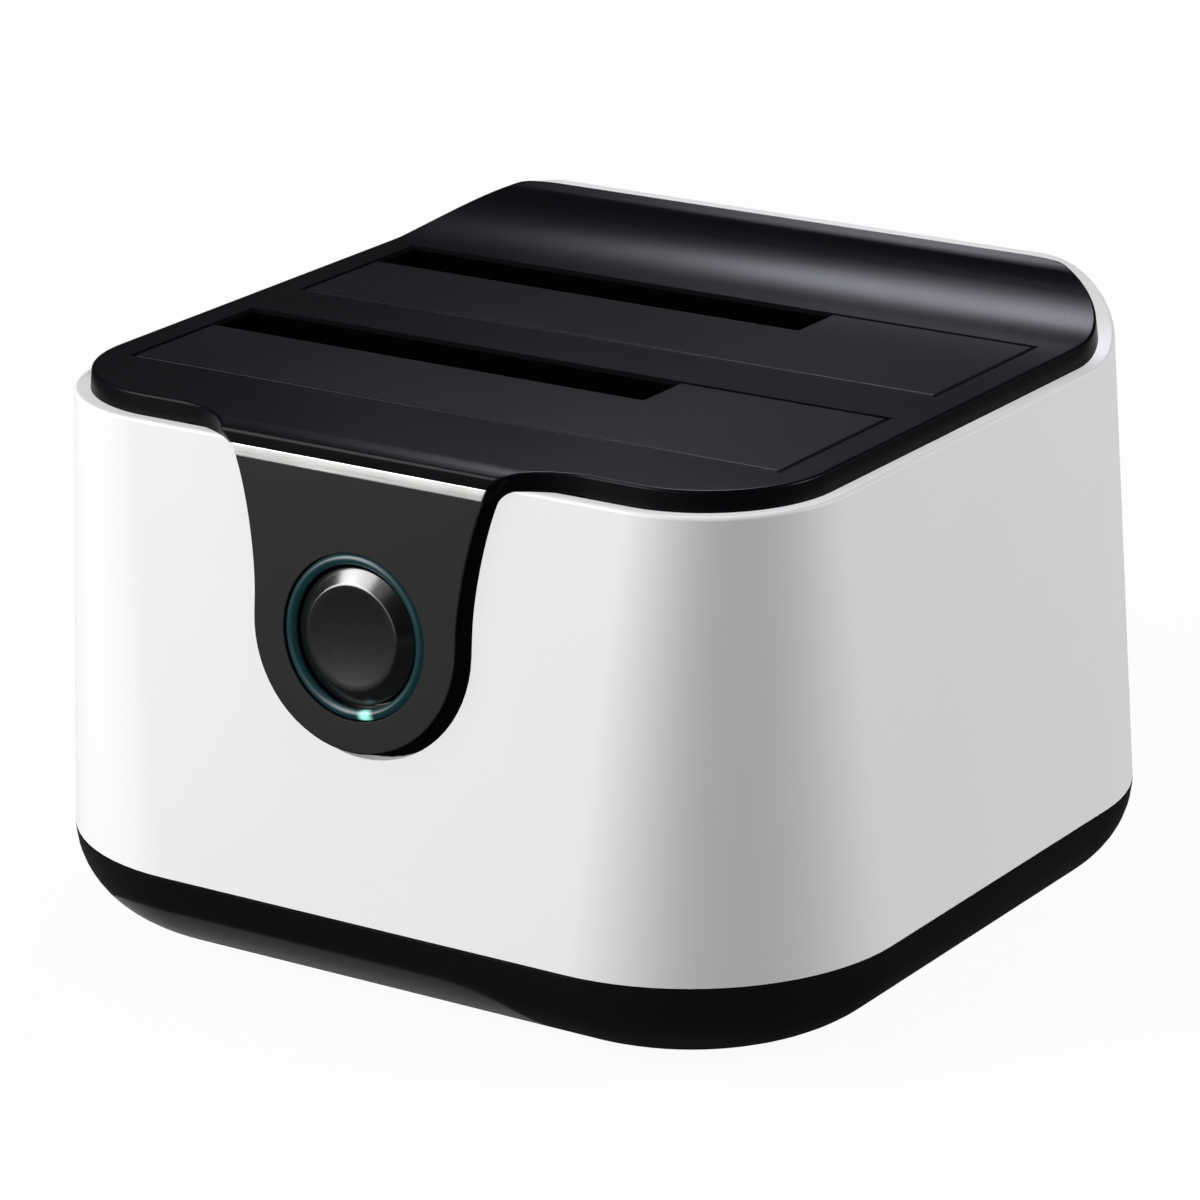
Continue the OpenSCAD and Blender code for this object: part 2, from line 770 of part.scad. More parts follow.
// L-shaped flap with two hinge knuckles under its front edge
module door(bay_y) {
    y = bay_y - hinge_back;
    plate_y = bay_y + door_gap;
    back = bay_y + bay_w - door_gap;
    half = bay_l / 2 - door_gap;
    shoulder = knuckle_d / 2 - knuckle_d / 40;
    step = hinge_back + door_gap;
    root = 4;
    under = hinge_drop - door_t;
    difference() {
        union() {
            translate([0, 0, deck_z - door_t]) linear_extrude(door_t) difference() {
                translate([-half, plate_y]) square([2 * half, back - plate_y]);
                translate([bay_left - over, bay_y + bay_w - slot_w]) square([slot_l + over, slot_w]);
            }
            for (x = [-1, 1]) {
                bar(knuckle_d, knuckle_l, y, hinge_z, x * knuckle_span / 2);
                translate([x * knuckle_span / 2 - knuckle_l / 2, y, hinge_z])
                    rotate([90, 0, 90]) linear_extrude(knuckle_l)
                        polygon([[0, shoulder], [step, shoulder], [step, under + door_t / 2],
                            [step + root, under + door_t / 2], [step + root, under], [0, -shoulder]]);
            }
        }
        bar(pin_d + 2 * pin_fit, knuckle_span + 2 * knuckle_l, y, hinge_z);
    }
}

module front_door() {
    color(dark) centred() door(front_bay_y);
}

module rear_door() {
    color(dark) centred() door(rear_bay_y);
}

module hinge_pin(bay_y) {
    bar(pin_d, 2 * lug_x + lug_t + 2 * hinge_clear, bay_y - hinge_back, hinge_z);
}

module front_door_pin() {
    color(steel) centred() hinge_pin(front_bay_y);
}

module rear_door_pin() {
    color(steel) centred() hinge_pin(rear_bay_y);
}

// Torsion spring round the pin: a leg under the deck, the turns, and a leg under the flap
spring_r = pin_d / 2 + play + wire_d / 2;
spring_pitch = wire_d + turn_gap;
spring_x = knuckle_span / 2 - knuckle_l / 2 - knuckle_side - turns * spring_pitch;
turn_steps = 8;
wire_sides = 6;
leg_l = 5;

function coil_point(i) = let(a = 90 - 360 * i / turn_steps)
    [spring_x + spring_pitch * i / turn_steps, spring_r * cos(a), spring_r * sin(a)];
function coil_out(i) = let(a = 90 - 360 * i / turn_steps) [0, cos(a), sin(a)];
function wire_ring(p, out) = [for (k = [0 : wire_sides - 1]) let(a = 360 * k / wire_sides)
    p + wire_d / 2 * (cos(a) * out + sin(a) * [1, 0, 0])];

coil_steps = turns * turn_steps;
coil = [for (i = [0 : coil_steps]) coil_point(i)];
spring_rings = concat(
    [wire_ring(coil[0] - [0, lug_half, 0], coil_out(0))],
    [for (i = [0 : coil_steps]) wire_ring(coil[i], coil_out(i))],
    [wire_ring(coil[coil_steps] + [0, leg_l + hinge_back, 0], coil_out(coil_steps))]);
spring_gaps = [for (i = [0 : coil_steps - 1], j = [i + turn_steps - 1 : 1 : coil_steps])
    norm(coil[i] - coil[j]) - wire_d];
echo(least_spring_gap = min(spring_gaps));

module door_spring(bay_y) {
    rings = len(spring_rings);
    points = [for (ring = spring_rings) for (p = ring) p];
    sides = [for (i = [0 : rings - 2], k = [0 : wire_sides - 1])
        let(a = i * wire_sides + k, b = i * wire_sides + (k + 1) % wire_sides)
        each [[a, a + wire_sides, b], [b, a + wire_sides, b + wire_sides]]];
    first = [for (k = [1 : wire_sides - 2]) [0, k, k + 1]];
    end = (rings - 1) * wire_sides;
    last = [for (k = [1 : wire_sides - 2]) [end, end + k + 1, end + k]];
    translate([0, bay_y - hinge_back, hinge_z])
        polyhedron(points = points, faces = concat(sides, first, last), convexity = 10);
}

module front_door_spring() {
    color(steel) centred() door_spring(front_bay_y);
}

module rear_door_spring() {
    color(steel) centred() door_spring(rear_bay_y);
}

module main_board() {
    side = board_w / 2;
    corner = 4;
    color(board_green) centred() difference() {
        translate([0, 0, board_z]) linear_extrude(board_t)
            polygon([[-side, board_front], [side, board_front], [side, board_rear - corner],
                [side - corner, board_rear], [corner - side, board_rear], [-side, board_rear - corner]]);
        board_places() translate([0, 0, board_z - over]) post(small_screw_d + play, board_t + 2 * over);
    }
}

module board_screws() {
    color(steel) centred() board_places() translate([0, 0, board_top]) mirror([0, 0, 1])
        screw(small_screw_d, board_t + small_bite + over, small_head_d, small_head_h);
}

// Two tongue slots of a drive connector: data on the left, power on the right
slot_deep = 6.4;
slot_open = 2.4;
data_l = 10.4;
power_l = 20.6;
slot_wall = 4.2;
slot_bridge = 2.2;
data_x = connector_x - connector_l / 2 + slot_wall + data_l / 2;
power_x = data_x + data_l / 2 + slot_bridge + power_l / 2;
contact_pitch = 1.27;
contact_w = 0.6;
contact_t = 0.3;
contact_drop = 0.8;

module drive_connector(bay_y) {
    y = connector_y(bay_y);
    difference() {
        block(connector_l, y - connector_w / 2, y + connector_w / 2, board_top, connector_top, connector_x);
        block(data_l, y - slot_open / 2, y + slot_open / 2, connector_top - slot_deep,
            connector_top + over, data_x);
        block(power_l, y - slot_open / 2, y + slot_open / 2, connector_top - slot_deep,
            connector_top + over, power_x);
    }
}

module contact_row(count, x, y) {
    for (i = [0 : count - 1])
        block(contact_w, y + slot_open / 2 - contact_t, y + slot_open / 2, connector_top - slot_deep,
            connector_top - contact_drop, x + (i - (count - 1) / 2) * contact_pitch);
}

module front_drive_connector() {
    color(black) centred() drive_connector(front_bay_y);
}

module rear_drive_connector() {
    color(black) centred() drive_connector(rear_bay_y);
}

module drive_contacts() {
    data_pins = 7;
    power_pins = 15;
    color(gold) centred() for (bay = [front_bay_y, rear_bay_y]) {
        contact_row(data_pins, data_x, connector_y(bay));
        contact_row(power_pins, power_x, connector_y(bay));
    }
}

// Parts on the main board, right of the connectors
chip_in = 20;
chip_x = board_w / 2 - chip_in;

module bridge_chip() {
    chip = 12;
    chip_h = 1.3;
    stand = 0.1;
    lead = 1;
    lead_w = 0.4;
    lead_t = 0.35;
    lead_root = 0.2;
    lead_pitch = 1;
    leads = 10;
    y = front_bay_y + bay_w / 2 + hole_in;
    color([0.08, 0.08, 0.08]) centred() translate([chip_x, y, board_top]) {
        translate([-chip / 2, -chip / 2, stand]) cube([chip, chip, chip_h]);
        for (a = [0 : 90 : 270], i = [0 : leads - 1]) rotate(a)
            translate([chip / 2 - lead_root, (i - (leads - 1) / 2) * lead_pitch - lead_w / 2, 0])
                cube([lead + lead_root, lead_w, lead_t]);
    }
}

module capacitors() {
    can_d = 6.3;
    can_h = 7.7;
    can_in = 10;
    can_step = 8;
    can_back = 3;
    left = can_in - board_w / 2;
    right = board_w / 2 - can_in;
    color([0.6, 0.62, 0.66]) centred() for (x = [left, left + can_step, right])
        translate([x, rear_ear_y + can_back, board_top]) post(can_d, can_h);
}

module power_inductor() {
    side = 9;
    coil_h = 4.4;
    y = rear_ear_y - ear_t;
    color([0.22, 0.22, 0.23]) centred()
        block(side, y, y + side, board_top, board_top + coil_h, chip_x - ear_t);
}

module crystal() {
    length = 10.6;
    wide = 4.4;
    can_h = 3.4;
    y = front_bay_y + bay_w + board_in;
    color(steel) centred() translate([chip_x, y, board_top]) linear_extrude(can_h) {
        square([length - wide, wide], center = true);
        for (x = [-1, 1]) translate([x * (length - wide) / 2, 0]) circle(d = wide, $fn = round_fn);
    }
}

// Sockets along the rear edge of the main board
usb_x = socket_span / 2;
jack_x = -socket_span / 2;
socket_face = rear_y(window_mid) - panel_recess;
usb_wall = 0.5;
usb_room = 9;
usb_mid = board_top + usb_h / 2;
jack_h = 11;
jack_depth = 14;
jack_stand = 0.6;
bore_l = 9.5;
jack_mid = board_top + jack_h / 2 + jack_stand;

module usb_socket() {
    color(steel) centred() difference() {
        block(usb_w, socket_face - usb_depth, socket_face, board_top, board_top + usb_h, usb_x);
        block(usb_w - 2 * usb_wall, socket_face - usb_room, socket_face + over, board_top + usb_wall,
            board_top + usb_h - usb_wall, usb_x);
    }
}

module usb_tongue() {
    low_w = 5.6;
    low_t = 3.2;
    high_w = 7.6;
    high_t = 1.8;
    high_gap = 2.2;
    inset = 1;
    back = socket_face - usb_room;
    color(black) centred() {
        block(low_w, back, socket_face - inset, usb_mid - low_t, usb_mid, usb_x);
        block(high_w, back, socket_face - inset, usb_mid + high_gap, usb_mid + high_gap + high_t, usb_x);
    }
}

module dc_jack() {
    color(black) centred() difference() {
        block(jack_w, socket_face - jack_depth, socket_face, board_top, jack_mid + jack_h / 2, jack_x);
        translate([jack_x, socket_face - bore_l, jack_mid]) rotate([-90, 0, 0])
            post(jack_bore, bore_l + over);
    }
}

module dc_pin() {
    color(steel) centred() translate([jack_x, socket_face - bore_l, jack_mid]) rotate([-90, 0, 0])
        post(jack_pin, bore_l - over);
}

module rear_panel() {
    cut = 5;
    flange_back_z = -shell_wall - panel_flange - panel_seat;
    color(black) centred() difference() {
        on_back() {
            translate([-window_w / 2 + fit_gap, -window_h / 2 + fit_gap, -shell_wall - panel_flange / 2])
                cube([window_w - 2 * fit_gap, window_h - 2 * fit_gap,
                    shell_wall + panel_flange / 2 - panel_recess]);
            translate([-window_w / 2 - panel_lap, -window_h / 2 + fit_gap, flange_back_z])
                cube([window_w + 2 * panel_lap, window_h + panel_lap, panel_flange]);
        }
        block(usb_w + 2 * fit_gap, socket_face - usb_depth, socket_face + cut, board_top - over,
            board_top + usb_h + fit_gap, usb_x);
        block(jack_w + 2 * fit_gap, socket_face - jack_depth, socket_face + cut, board_top - over,
            jack_mid + jack_h / 2 + fit_gap, jack_x);
    }
}

base_tray();
rubber_feet();
outer_shell();
top_deck();
front_panel();
trim_strip();
light_ring();
power_button();
switch_plunger();
power_switch();
button_board();
status_leds();
button_board_screws();
button_ribbon();
ribbon_sockets();
front_bay_well();
rear_bay_well();
well_screws();
front_door();
rear_door();
front_door_pin();
rear_door_pin();
front_door_spring();
rear_door_spring();
main_board();
board_screws();
front_drive_connector();
rear_drive_connector();
drive_contacts();
bridge_chip();
capacitors();
power_inductor();
crystal();
usb_socket();
usb_tongue();
dc_jack();
dc_pin();
rear_panel();
case_screws();
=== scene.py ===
from math import acos, asin, cos, pi, radians, sin, sqrt, tan

import bmesh
import bpy
from mathutils import Matrix, Vector


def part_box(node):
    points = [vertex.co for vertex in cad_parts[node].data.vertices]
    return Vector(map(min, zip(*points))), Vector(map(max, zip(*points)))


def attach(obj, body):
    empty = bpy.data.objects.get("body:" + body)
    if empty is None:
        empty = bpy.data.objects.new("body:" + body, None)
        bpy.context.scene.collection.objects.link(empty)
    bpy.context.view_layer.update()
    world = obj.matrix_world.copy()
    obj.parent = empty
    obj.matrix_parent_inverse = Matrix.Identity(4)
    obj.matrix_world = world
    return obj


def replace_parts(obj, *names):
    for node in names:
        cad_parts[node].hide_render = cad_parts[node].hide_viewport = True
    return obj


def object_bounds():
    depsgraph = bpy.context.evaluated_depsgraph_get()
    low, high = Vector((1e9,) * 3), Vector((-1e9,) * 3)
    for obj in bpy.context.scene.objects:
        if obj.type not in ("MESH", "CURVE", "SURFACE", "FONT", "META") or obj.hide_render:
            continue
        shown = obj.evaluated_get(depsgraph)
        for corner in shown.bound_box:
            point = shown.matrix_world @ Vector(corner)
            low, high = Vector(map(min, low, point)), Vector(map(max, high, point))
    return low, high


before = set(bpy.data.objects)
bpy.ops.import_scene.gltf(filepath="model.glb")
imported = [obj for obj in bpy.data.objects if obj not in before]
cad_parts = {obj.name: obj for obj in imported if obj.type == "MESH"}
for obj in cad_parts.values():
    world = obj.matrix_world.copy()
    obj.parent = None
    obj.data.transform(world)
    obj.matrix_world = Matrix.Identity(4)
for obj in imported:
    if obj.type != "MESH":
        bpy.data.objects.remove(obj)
cad_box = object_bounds()


# Base tray: the shallow black bowl that the station stands on.
# Injection-moulded ABS with a polished outside; a rim centres the shell on it, and its
# underside has four screw wells and four round seats for the feet.
class Wire:
    """A shader socket that can be used in sums, with one method for every other node."""

    def __init__(self, tree, socket=None):
        self.tree = tree
        self.socket = socket

    def plug(self, node, values):
        for name, value in values.items():
            if isinstance(value, Wire):
                self.tree.links.new(value.socket, node.inputs[name])
            else:
                node.inputs[name].default_value = value

    def node(self, kind, settings=None, values=None, out=0):
        made = self.tree.nodes.new("ShaderNode" + kind)
        for name, value in (settings or {}).items():
            if name == "stops":
                stops = made.color_ramp.elements
                while len(stops) < len(value):
                    stops.new(1.0)
                for stop, (position, colour) in zip(stops, value):
                    stop.position = position
                    stop.color = (*colour, 1.0)
            else:
                setattr(made, name, value)
        self.plug(made, values or {})
        return Wire(self.tree, made.outputs[out])

    def math(self, operation, *values):
        return self.node("Math", {"operation": operation}, dict(enumerate(values)))

    def __add__(self, other):
        return self.math("ADD", self, other)

    __radd__ = __add__

    def __sub__(self, other):
        return self.math("SUBTRACT", self, other)

    def __rsub__(self, other):
        return self.math("SUBTRACT", other, self)

    def __mul__(self, other):
        return self.math("MULTIPLY", self, other)

    __rmul__ = __mul__


def skin_of(name):
    """A new material, its shader and the start of its wiring."""
    material = bpy.data.materials.new(name)
    material.use_nodes = True
    return material, material.node_tree.nodes["Principled BSDF"], Wire(material.node_tree)


def plastic(name, shade, rough, grain, depth, level=0.5, drift=0.08):
    """Moulded plastic: spark-eroded grain, a faint drift of tone and uneven gloss."""
    material, skin, wire = skin_of(name)
    place = wire.node("TexCoord", out="Object")
    cells = wire.node("TexNoise", values={"Vector": place, "Scale": grain, "Detail": 2.0})
    cloud = wire.node("TexNoise", values={"Vector": place, "Scale": 30.0, "Detail": 4.0})
    worn = [part * (1 - drift) for part in shade]
    tone = wire.node("ValToRGB", {"stops": [(0.35, worn), (0.65, shade)]}, {0: cloud * 0.7 + cells * 0.3})
    bump = wire.node("Bump", values={"Strength": 0.4, "Distance": depth, "Height": cells})
    wire.plug(skin, {"Base Color": tone, "Roughness": rough + (cloud - 0.5) * 0.1 + (cells - 0.5) * 0.06,
                     "Normal": bump, "Specular IOR Level": level})
    return material


def rounded_loop(bm, half, front, back, radius, height, steps=20):
    """A level loop of edges around a rectangle with round corners."""
    corners = [bm.verts.new((x, y, height)) for x, y in
               ((-half, front), (half, front), (half, back), (-half, back))]
    bm.faces.new(corners)
    made = bmesh.ops.bevel(bm, geom=corners, offset=radius, offset_type="OFFSET", affect="VERTICES",
                           segments=steps, profile=0.5, material=-1)
    face = made["verts"][0].link_faces[0]
    edges = list(face.edges)
    bmesh.ops.delete(bm, geom=[face], context="FACES_ONLY")
    return edges


def carve(bm, tool):
    """Takes one closed shape out of another."""
    meshes = [bpy.data.meshes.new(name) for name in ("solid", "tool")]
    for mesh, shape in zip(meshes, (bm, tool)):
        bmesh.ops.recalc_face_normals(shape, faces=shape.faces)
        shape.to_mesh(mesh)
    solid, cutter = [bpy.data.objects.new(mesh.name, mesh) for mesh in meshes]
    for obj in (solid, cutter):
        bpy.context.scene.collection.objects.link(obj)
    cut = solid.modifiers.new("cut", "BOOLEAN")
    cut.operation, cut.solver, cut.object = "DIFFERENCE", "EXACT", cutter
    left = bpy.data.meshes.new_from_object(solid.evaluated_get(bpy.context.evaluated_depsgraph_get()))
    bm.clear()
    bm.from_mesh(left)
    tool.free()
    for obj in (solid, cutter):
        bpy.data.objects.remove(obj)
    for mesh in (*meshes, left):
        bpy.data.meshes.remove(mesh)


def merge(bm):
    bmesh.ops.remove_doubles(bm, verts=bm.verts, dist=2e-6)


def ease(bm, width, segments=3, sharp=0.6, keep=lambda edge: True, clamp=True):
    """Rounds the edges that are sharper than an angle."""
    merge(bm)
    edges = [edge for edge in bm.edges if edge.is_manifold and edge.calc_face_angle() > sharp and keep(edge)]
    bmesh.ops.bevel(bm, geom=edges, offset=width, offset_type="OFFSET", affect="EDGES",
                    segments=segments, profile=0.5, material=-1, clamp_overlap=clamp)


def piece(name, bm, material, slot, *nodes, body="housing", turned=True):
    """Finishes a mesh as a piece of the object, in place of its CAD nodes."""
    merge(bm)
    if turned:
        bmesh.ops.recalc_face_normals(bm, faces=bm.faces)
    for face in bm.faces:
        face.smooth = True
    for edge in bm.edges:
        edge.smooth = edge.is_manifold and edge.calc_face_angle() < 0.6
    mesh = bpy.data.meshes.new(name)
    bm.to_mesh(mesh)
    bm.free()
    mesh.materials.append(material)
    obj = bpy.data.objects.new(name, mesh)
    bpy.context.scene.collection.objects.link(obj)
    obj.modifiers.new("flat faces stay flat", "WEIGHTED_NORMAL").keep_sharp = True
    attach(obj, body)
    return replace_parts(obj, *nodes)


shell_low, shell_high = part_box("outer_shell")
seam = shell_low.z
wall = 0.0022
fit_gap = 0.00015
base_corner = 0.0305
bowl_low = 0.0012
bowl_tuck = 0.0155
bowl_floor = 0.0022
bowl_steps = 18
rim_height = 0.002
rim_wall = 0.0014
seam_groove = 0.0003
well_radius = 0.0032
well_top = 0.0052
pad_across, pad_along = 0.034, 0.031
middle_y = (shell_low.y + shell_high.y) / 2
foot_places = [Vector((x * pad_across, y * pad_along + middle_y, 0)) for x in (-1, 1) for y in (-1, 1)]
screw_low, screw_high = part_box("case_screws")
screw_radius = 0.0028
screw_places = [Vector((x, y, 0)) for x in (screw_low.x + screw_radius, screw_high.x - screw_radius)
                for y in (screw_low.y + screw_radius, screw_high.y - screw_radius)]
foot_low, foot_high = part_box("rubber_feet")
pad_radius = 0.0055


def bowl_profile(inset, floor, steps):
    """Insets and heights of a bowl's loops from its floor up to the seam."""
    for step in range(steps + 1):
        angle = pi / 2 * (1 - step / steps)
        yield inset + bowl_tuck * (1 - cos(angle)), seam - (seam - floor) * sin(angle)


bm = bmesh.new()
rim_out = wall + fit_gap
rim_in = rim_out + rim_wall
profile = [*bowl_profile(0, bowl_low, bowl_steps)][:-1]
profile += [(0, seam - seam_groove), (seam_groove, seam - seam_groove / 3), (rim_out, seam - seam_groove / 4),
            (rim_out, seam + rim_height), (rim_in, seam + rim_height * 0.9)]
profile += reversed([*bowl_profile(rim_in, bowl_low + bowl_floor, bowl_steps // 2)])
loops = [rounded_loop(bm, shell_high.x - inset, shell_low.y + inset, shell_high.y - inset,
                      base_corner - inset, height) for inset, height in profile]
for lower, upper in zip(loops, loops[1:]):
    bmesh.ops.bridge_loops(bm, edges=lower + upper)
for end in (loops[0], loops[-1]):
    bmesh.ops.edgeloop_fill(bm, edges=end)
merge(bm)
holes = bmesh.new()
for spot in screw_places:
    bmesh.ops.create_cone(holes, cap_ends=True, segments=40, radius1=well_radius, radius2=well_radius,
                          depth=2 * well_top, matrix=Matrix.Translation(spot))
for spot in foot_places:
    bmesh.ops.create_cone(holes, cap_ends=True, segments=48, radius1=pad_radius + fit_gap,
                          radius2=pad_radius + fit_gap, depth=2 * foot_high.z,
                          matrix=Matrix.Translation(spot))
carve(bm, holes)
base_black = plastic("polished black", (0.0035, 0.0035, 0.004), 0.16, 900, 0.00001)
piece("base_bowl", bm, base_black, "base_black", "base_tray")


# Feet: four soft pads pressed into the seats under the base.
# Moulded rubber with a rounded rim and a shallow cup in the middle that grips the table.
def lathe(bm, outline, steps, place=Matrix()):
    """Spins an outline of (radius, height) points about Z and moves it into place."""
    old = set(bm.verts)
    points = [bm.verts.new((radius, 0, height)) for radius, height in outline]
    edges = [bm.edges.new(pair) for pair in zip(points, points[1:])]
    bmesh.ops.spin(bm, geom=points + edges, cent=(0, 0, 0), axis=(0, 0, 1), angle=2 * pi, steps=steps,
                   use_merge=True)
    bmesh.ops.transform(bm, matrix=place, verts=[vert for vert in bm.verts if vert not in old])


bm = bmesh.new()
foot_cup = 0.0004
for spot in foot_places:
    lathe(bm, [(0, foot_high.z), (pad_radius, foot_high.z), (pad_radius, 0),
               (pad_radius * 0.7, 0), (pad_radius * 0.6, foot_cup), (0, foot_cup)],
          48, Matrix.Translation(spot))
ease(bm, 0.0003, 3)
foot_rubber = plastic("foot rubber", (0.018, 0.018, 0.018), 0.78, 2200, 0.00004, level=0.25)
piece("feet", bm, foot_rubber, "foot_rubber", "rubber_feet")


# Case screws: four pan-head screws that pull the base up against the shell.
# Zinc-plated steel with a cross recess, sunk in the base's screw wells.
def steel(name, shade, rough, streak=(1.0, 1.0, 1.0)):
    """Plated or drawn metal with fine streaks along one axis."""
    material, skin, wire = skin_of(name)
    place = wire.node("TexCoord", out="Object")
    drawn = wire.node("Mapping", values={"Vector": place, "Scale": streak})
    lines = wire.node("TexNoise", values={"Vector": drawn, "Scale": 2500.0, "Detail": 3.0})
    cloud = wire.node("TexNoise", values={"Vector": place, "Scale": 120.0, "Detail": 3.0})
    dull = [part * 0.72 for part in shade]
    tone = wire.node("ValToRGB", {"stops": [(0.3, dull), (0.7, shade)]}, {0: cloud * 0.5 + lines * 0.5})
    bump = wire.node("Bump", values={"Strength": 0.3, "Distance": 0.00002, "Height": lines})
    wire.plug(skin, {"Base Color": tone, "Metallic": 1.0, "Normal": bump,
                     "Roughness": rough + (lines - 0.5) * 0.2 + (cloud - 0.5) * 0.1})
    return material


def screw(bm, place, radius, depth, shank, length):
    """A pan-head screw along Z: its head below the seat, its shank above."""
    made = bmesh.new()
    lathe(made, [(0, -depth), (radius * 0.55, -depth), (radius, -depth * 0.45), (radius, 0), (shank, 0),
                 (shank, length * 0.85), (shank * 0.3, length), (0, length)], 32)
    ease(made, radius * 0.08, 2, 0.9)
    merge(made)
    for turn in (0, pi / 2):
        slot = bmesh.new()
        bmesh.ops.create_cube(slot, size=1.0, matrix=Matrix.Rotation(turn, 4, "Z")
                              @ Matrix.Translation((0, 0, -depth))
                              @ Matrix.Diagonal((radius * 1.05, radius * 0.3, depth, 1)))
        carve(made, slot)
    bmesh.ops.transform(made, matrix=place, verts=made.verts)
    mesh = bpy.data.meshes.new("screw")
    made.to_mesh(mesh)
    bm.from_mesh(mesh)
    made.free()
    bpy.data.meshes.remove(mesh)


screw_head, screw_shank = 0.002, 0.00145
screw_steel = steel("zinc plate", (0.62, 0.63, 0.66), 0.3)
bm = bmesh.new()
for spot in screw_places:
    screw(bm, Matrix.Translation(spot + Vector((0, 0, well_top))), screw_radius, screw_head, screw_shank,
          screw_high.z - well_top)
piece("case_screw_set", bm, screw_steel, "screw_steel", "case_screws")


# Main board: the bridge circuit that joins two drives to one data socket.
# Green glass-epoxy laminate with etched tracks under a solder mask, screwed to posts in the base.
def eased_copy(name, node, width, material, slot, body="housing", segments=2):
    """The node's own solid with its edges rounded as a mould or a press leaves them."""
    bm = bmesh.new()
    bm.from_mesh(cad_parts[node].data)
    merge(bm)
    bmesh.ops.dissolve_limit(bm, angle_limit=0.01, verts=bm.verts, edges=bm.edges)
    if width:
        ease(bm, width, segments)
    return piece(name, bm, material, slot, node, body=body, turned=False)


board_green, skin, wire = skin_of("solder mask")
place = wire.node("TexCoord", out="Object")
tracks = wire.node("TexBrick", {"offset": 0.37, "squash": 1.6},
                   {"Vector": place, "Scale": 260.0, "Mortar Size": 0.06, "Bias": -0.4}, out="Fac")
flow = wire.node("TexNoise", values={"Vector": place, "Scale": 90.0, "Detail": 2.0})
traced = wire.node("Mix", {"data_type": "RGBA"},
                   {0: tracks * 0.8, 6: (0.006, 0.075, 0.035, 1), 7: (0.02, 0.16, 0.07, 1)}, out=2)
raised = wire.node("Bump", values={"Strength": 0.4, "Distance": 0.00004, "Height": tracks})
wire.plug(skin, {"Base Color": traced, "Roughness": 0.28 + flow * 0.15, "Normal": raised})
eased_copy("bridge_board", "main_board", 0.0001, board_green, "board_green")

bm = bmesh.new()
board_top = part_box("main_board")[1].z
board_screw_low, board_screw_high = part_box("board_screws")
small_radius, small_head, small_shank = 0.0019, 0.0012, 0.001
for x in (board_screw_low.x + small_radius, board_screw_high.x - small_radius):
    for y in (board_screw_low.y + small_radius, board_screw_high.y - small_radius):
        screw(bm, Matrix.Translation((x, y, board_top)) @ Matrix.Rotation(pi, 4, "X"), small_radius,
              small_head, small_shank, board_top - board_screw_low.z)
piece("board_screw_set", bm, screw_steel, "screw_steel", "board_screws")


# Parts on the board: the bridge chip, three filter cans, a choke and the clock crystal.
# Epoxy and aluminium bought-in parts, soldered down flat.
chip_black = plastic("epoxy", (0.016, 0.016, 0.017), 0.5, 3000, 0.00002)
can_silver = steel("can aluminium", (0.7, 0.71, 0.73), 0.32, (1.0, 1.0, 0.05))
coil_grey = plastic("ferrite", (0.06, 0.06, 0.063), 0.6, 1600, 0.00005)
eased_copy("chip", "bridge_chip", 0.00008, chip_black, "chip_black")
eased_copy("filter_cans", "capacitors", 0.0005, can_silver, "can_silver", segments=4)
eased_copy("choke", "power_inductor", 0.0006, coil_grey, "coil_grey", segments=3)
eased_copy("clock_can", "crystal", 0.0004, can_silver, "can_silver", segments=3)


# Drive connectors: two upright sockets that a drive's edge plugs into, with gilt blades.
# Glass-filled nylon bodies, pressed blades, soldered to the main board.
connector_black = plastic("connector nylon", (0.02, 0.02, 0.021), 0.55, 2600, 0.00003)
contact_gold = steel("gilt blade", (0.83, 0.62, 0.25), 0.25)
eased_copy("front_socket", "front_drive_connector", 0.0002, connector_black, "connector_black")
eased_copy("rear_socket", "rear_drive_connector", 0.0002, connector_black, "connector_black")
eased_copy("gilt_blades", "drive_contacts", 0.00006, contact_gold, "contact_gold")


# Wells: two sleeves that guide a drive down onto its connector.
# Matt black ABS boxes, hung from the deck by screws through their ears; their black is taken to near zero
# with no gloss, partly the boxes' own black and partly painted shade for the bays' insides.
# Near-zero black without gloss: the wells' own black with painted shade for the deep bays.
well_black = plastic("well black with painted shade", (0.0010, 0.0010, 0.0010), 0.7, 2400, 0.00004, level=0.0)
eased_copy("front_well", "front_bay_well", 0.0002, well_black, "well_black")
eased_copy("rear_well", "rear_bay_well", 0.0002, well_black, "well_black")
eased_copy("well_screw_set", "well_screws", 0.0002, screw_steel, "screw_steel")


# Shell: the white sleeve between base and deck.
# One moulding in satin white ABS; its walls lean in, its lip is rounded and swept up at the back,
# and a notch in the front lets the deck's tongue through.
deck_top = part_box("front_door")[1].z
lip_drop = 0.0027
lip = deck_top - lip_drop
crown = cad_box[1].z
side_lean, front_lean, back_lean = 0.0042, 0.0054, 0.0074
lip_radius = 0.020
sweep_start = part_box("rear_door")[1].y + 0.0021
sweep_radius = 0.028


def shell_line(height):
    """Half width, front, back and corner radius of the shell at a height."""
    share = (height - seam) / (lip - seam)
    return (shell_high.x - side_lean * share, shell_low.y + front_lean * share,
            shell_high.y - back_lean * share, base_corner + (lip_radius - base_corner) * share)


def swept(y, level):
    """Height of a surface that is level in front and sweeps up at the back."""
    run = min(max(y - sweep_start, 0), sweep_radius * 0.99)
    return level + sweep_radius - sqrt(sweep_radius ** 2 - run ** 2)


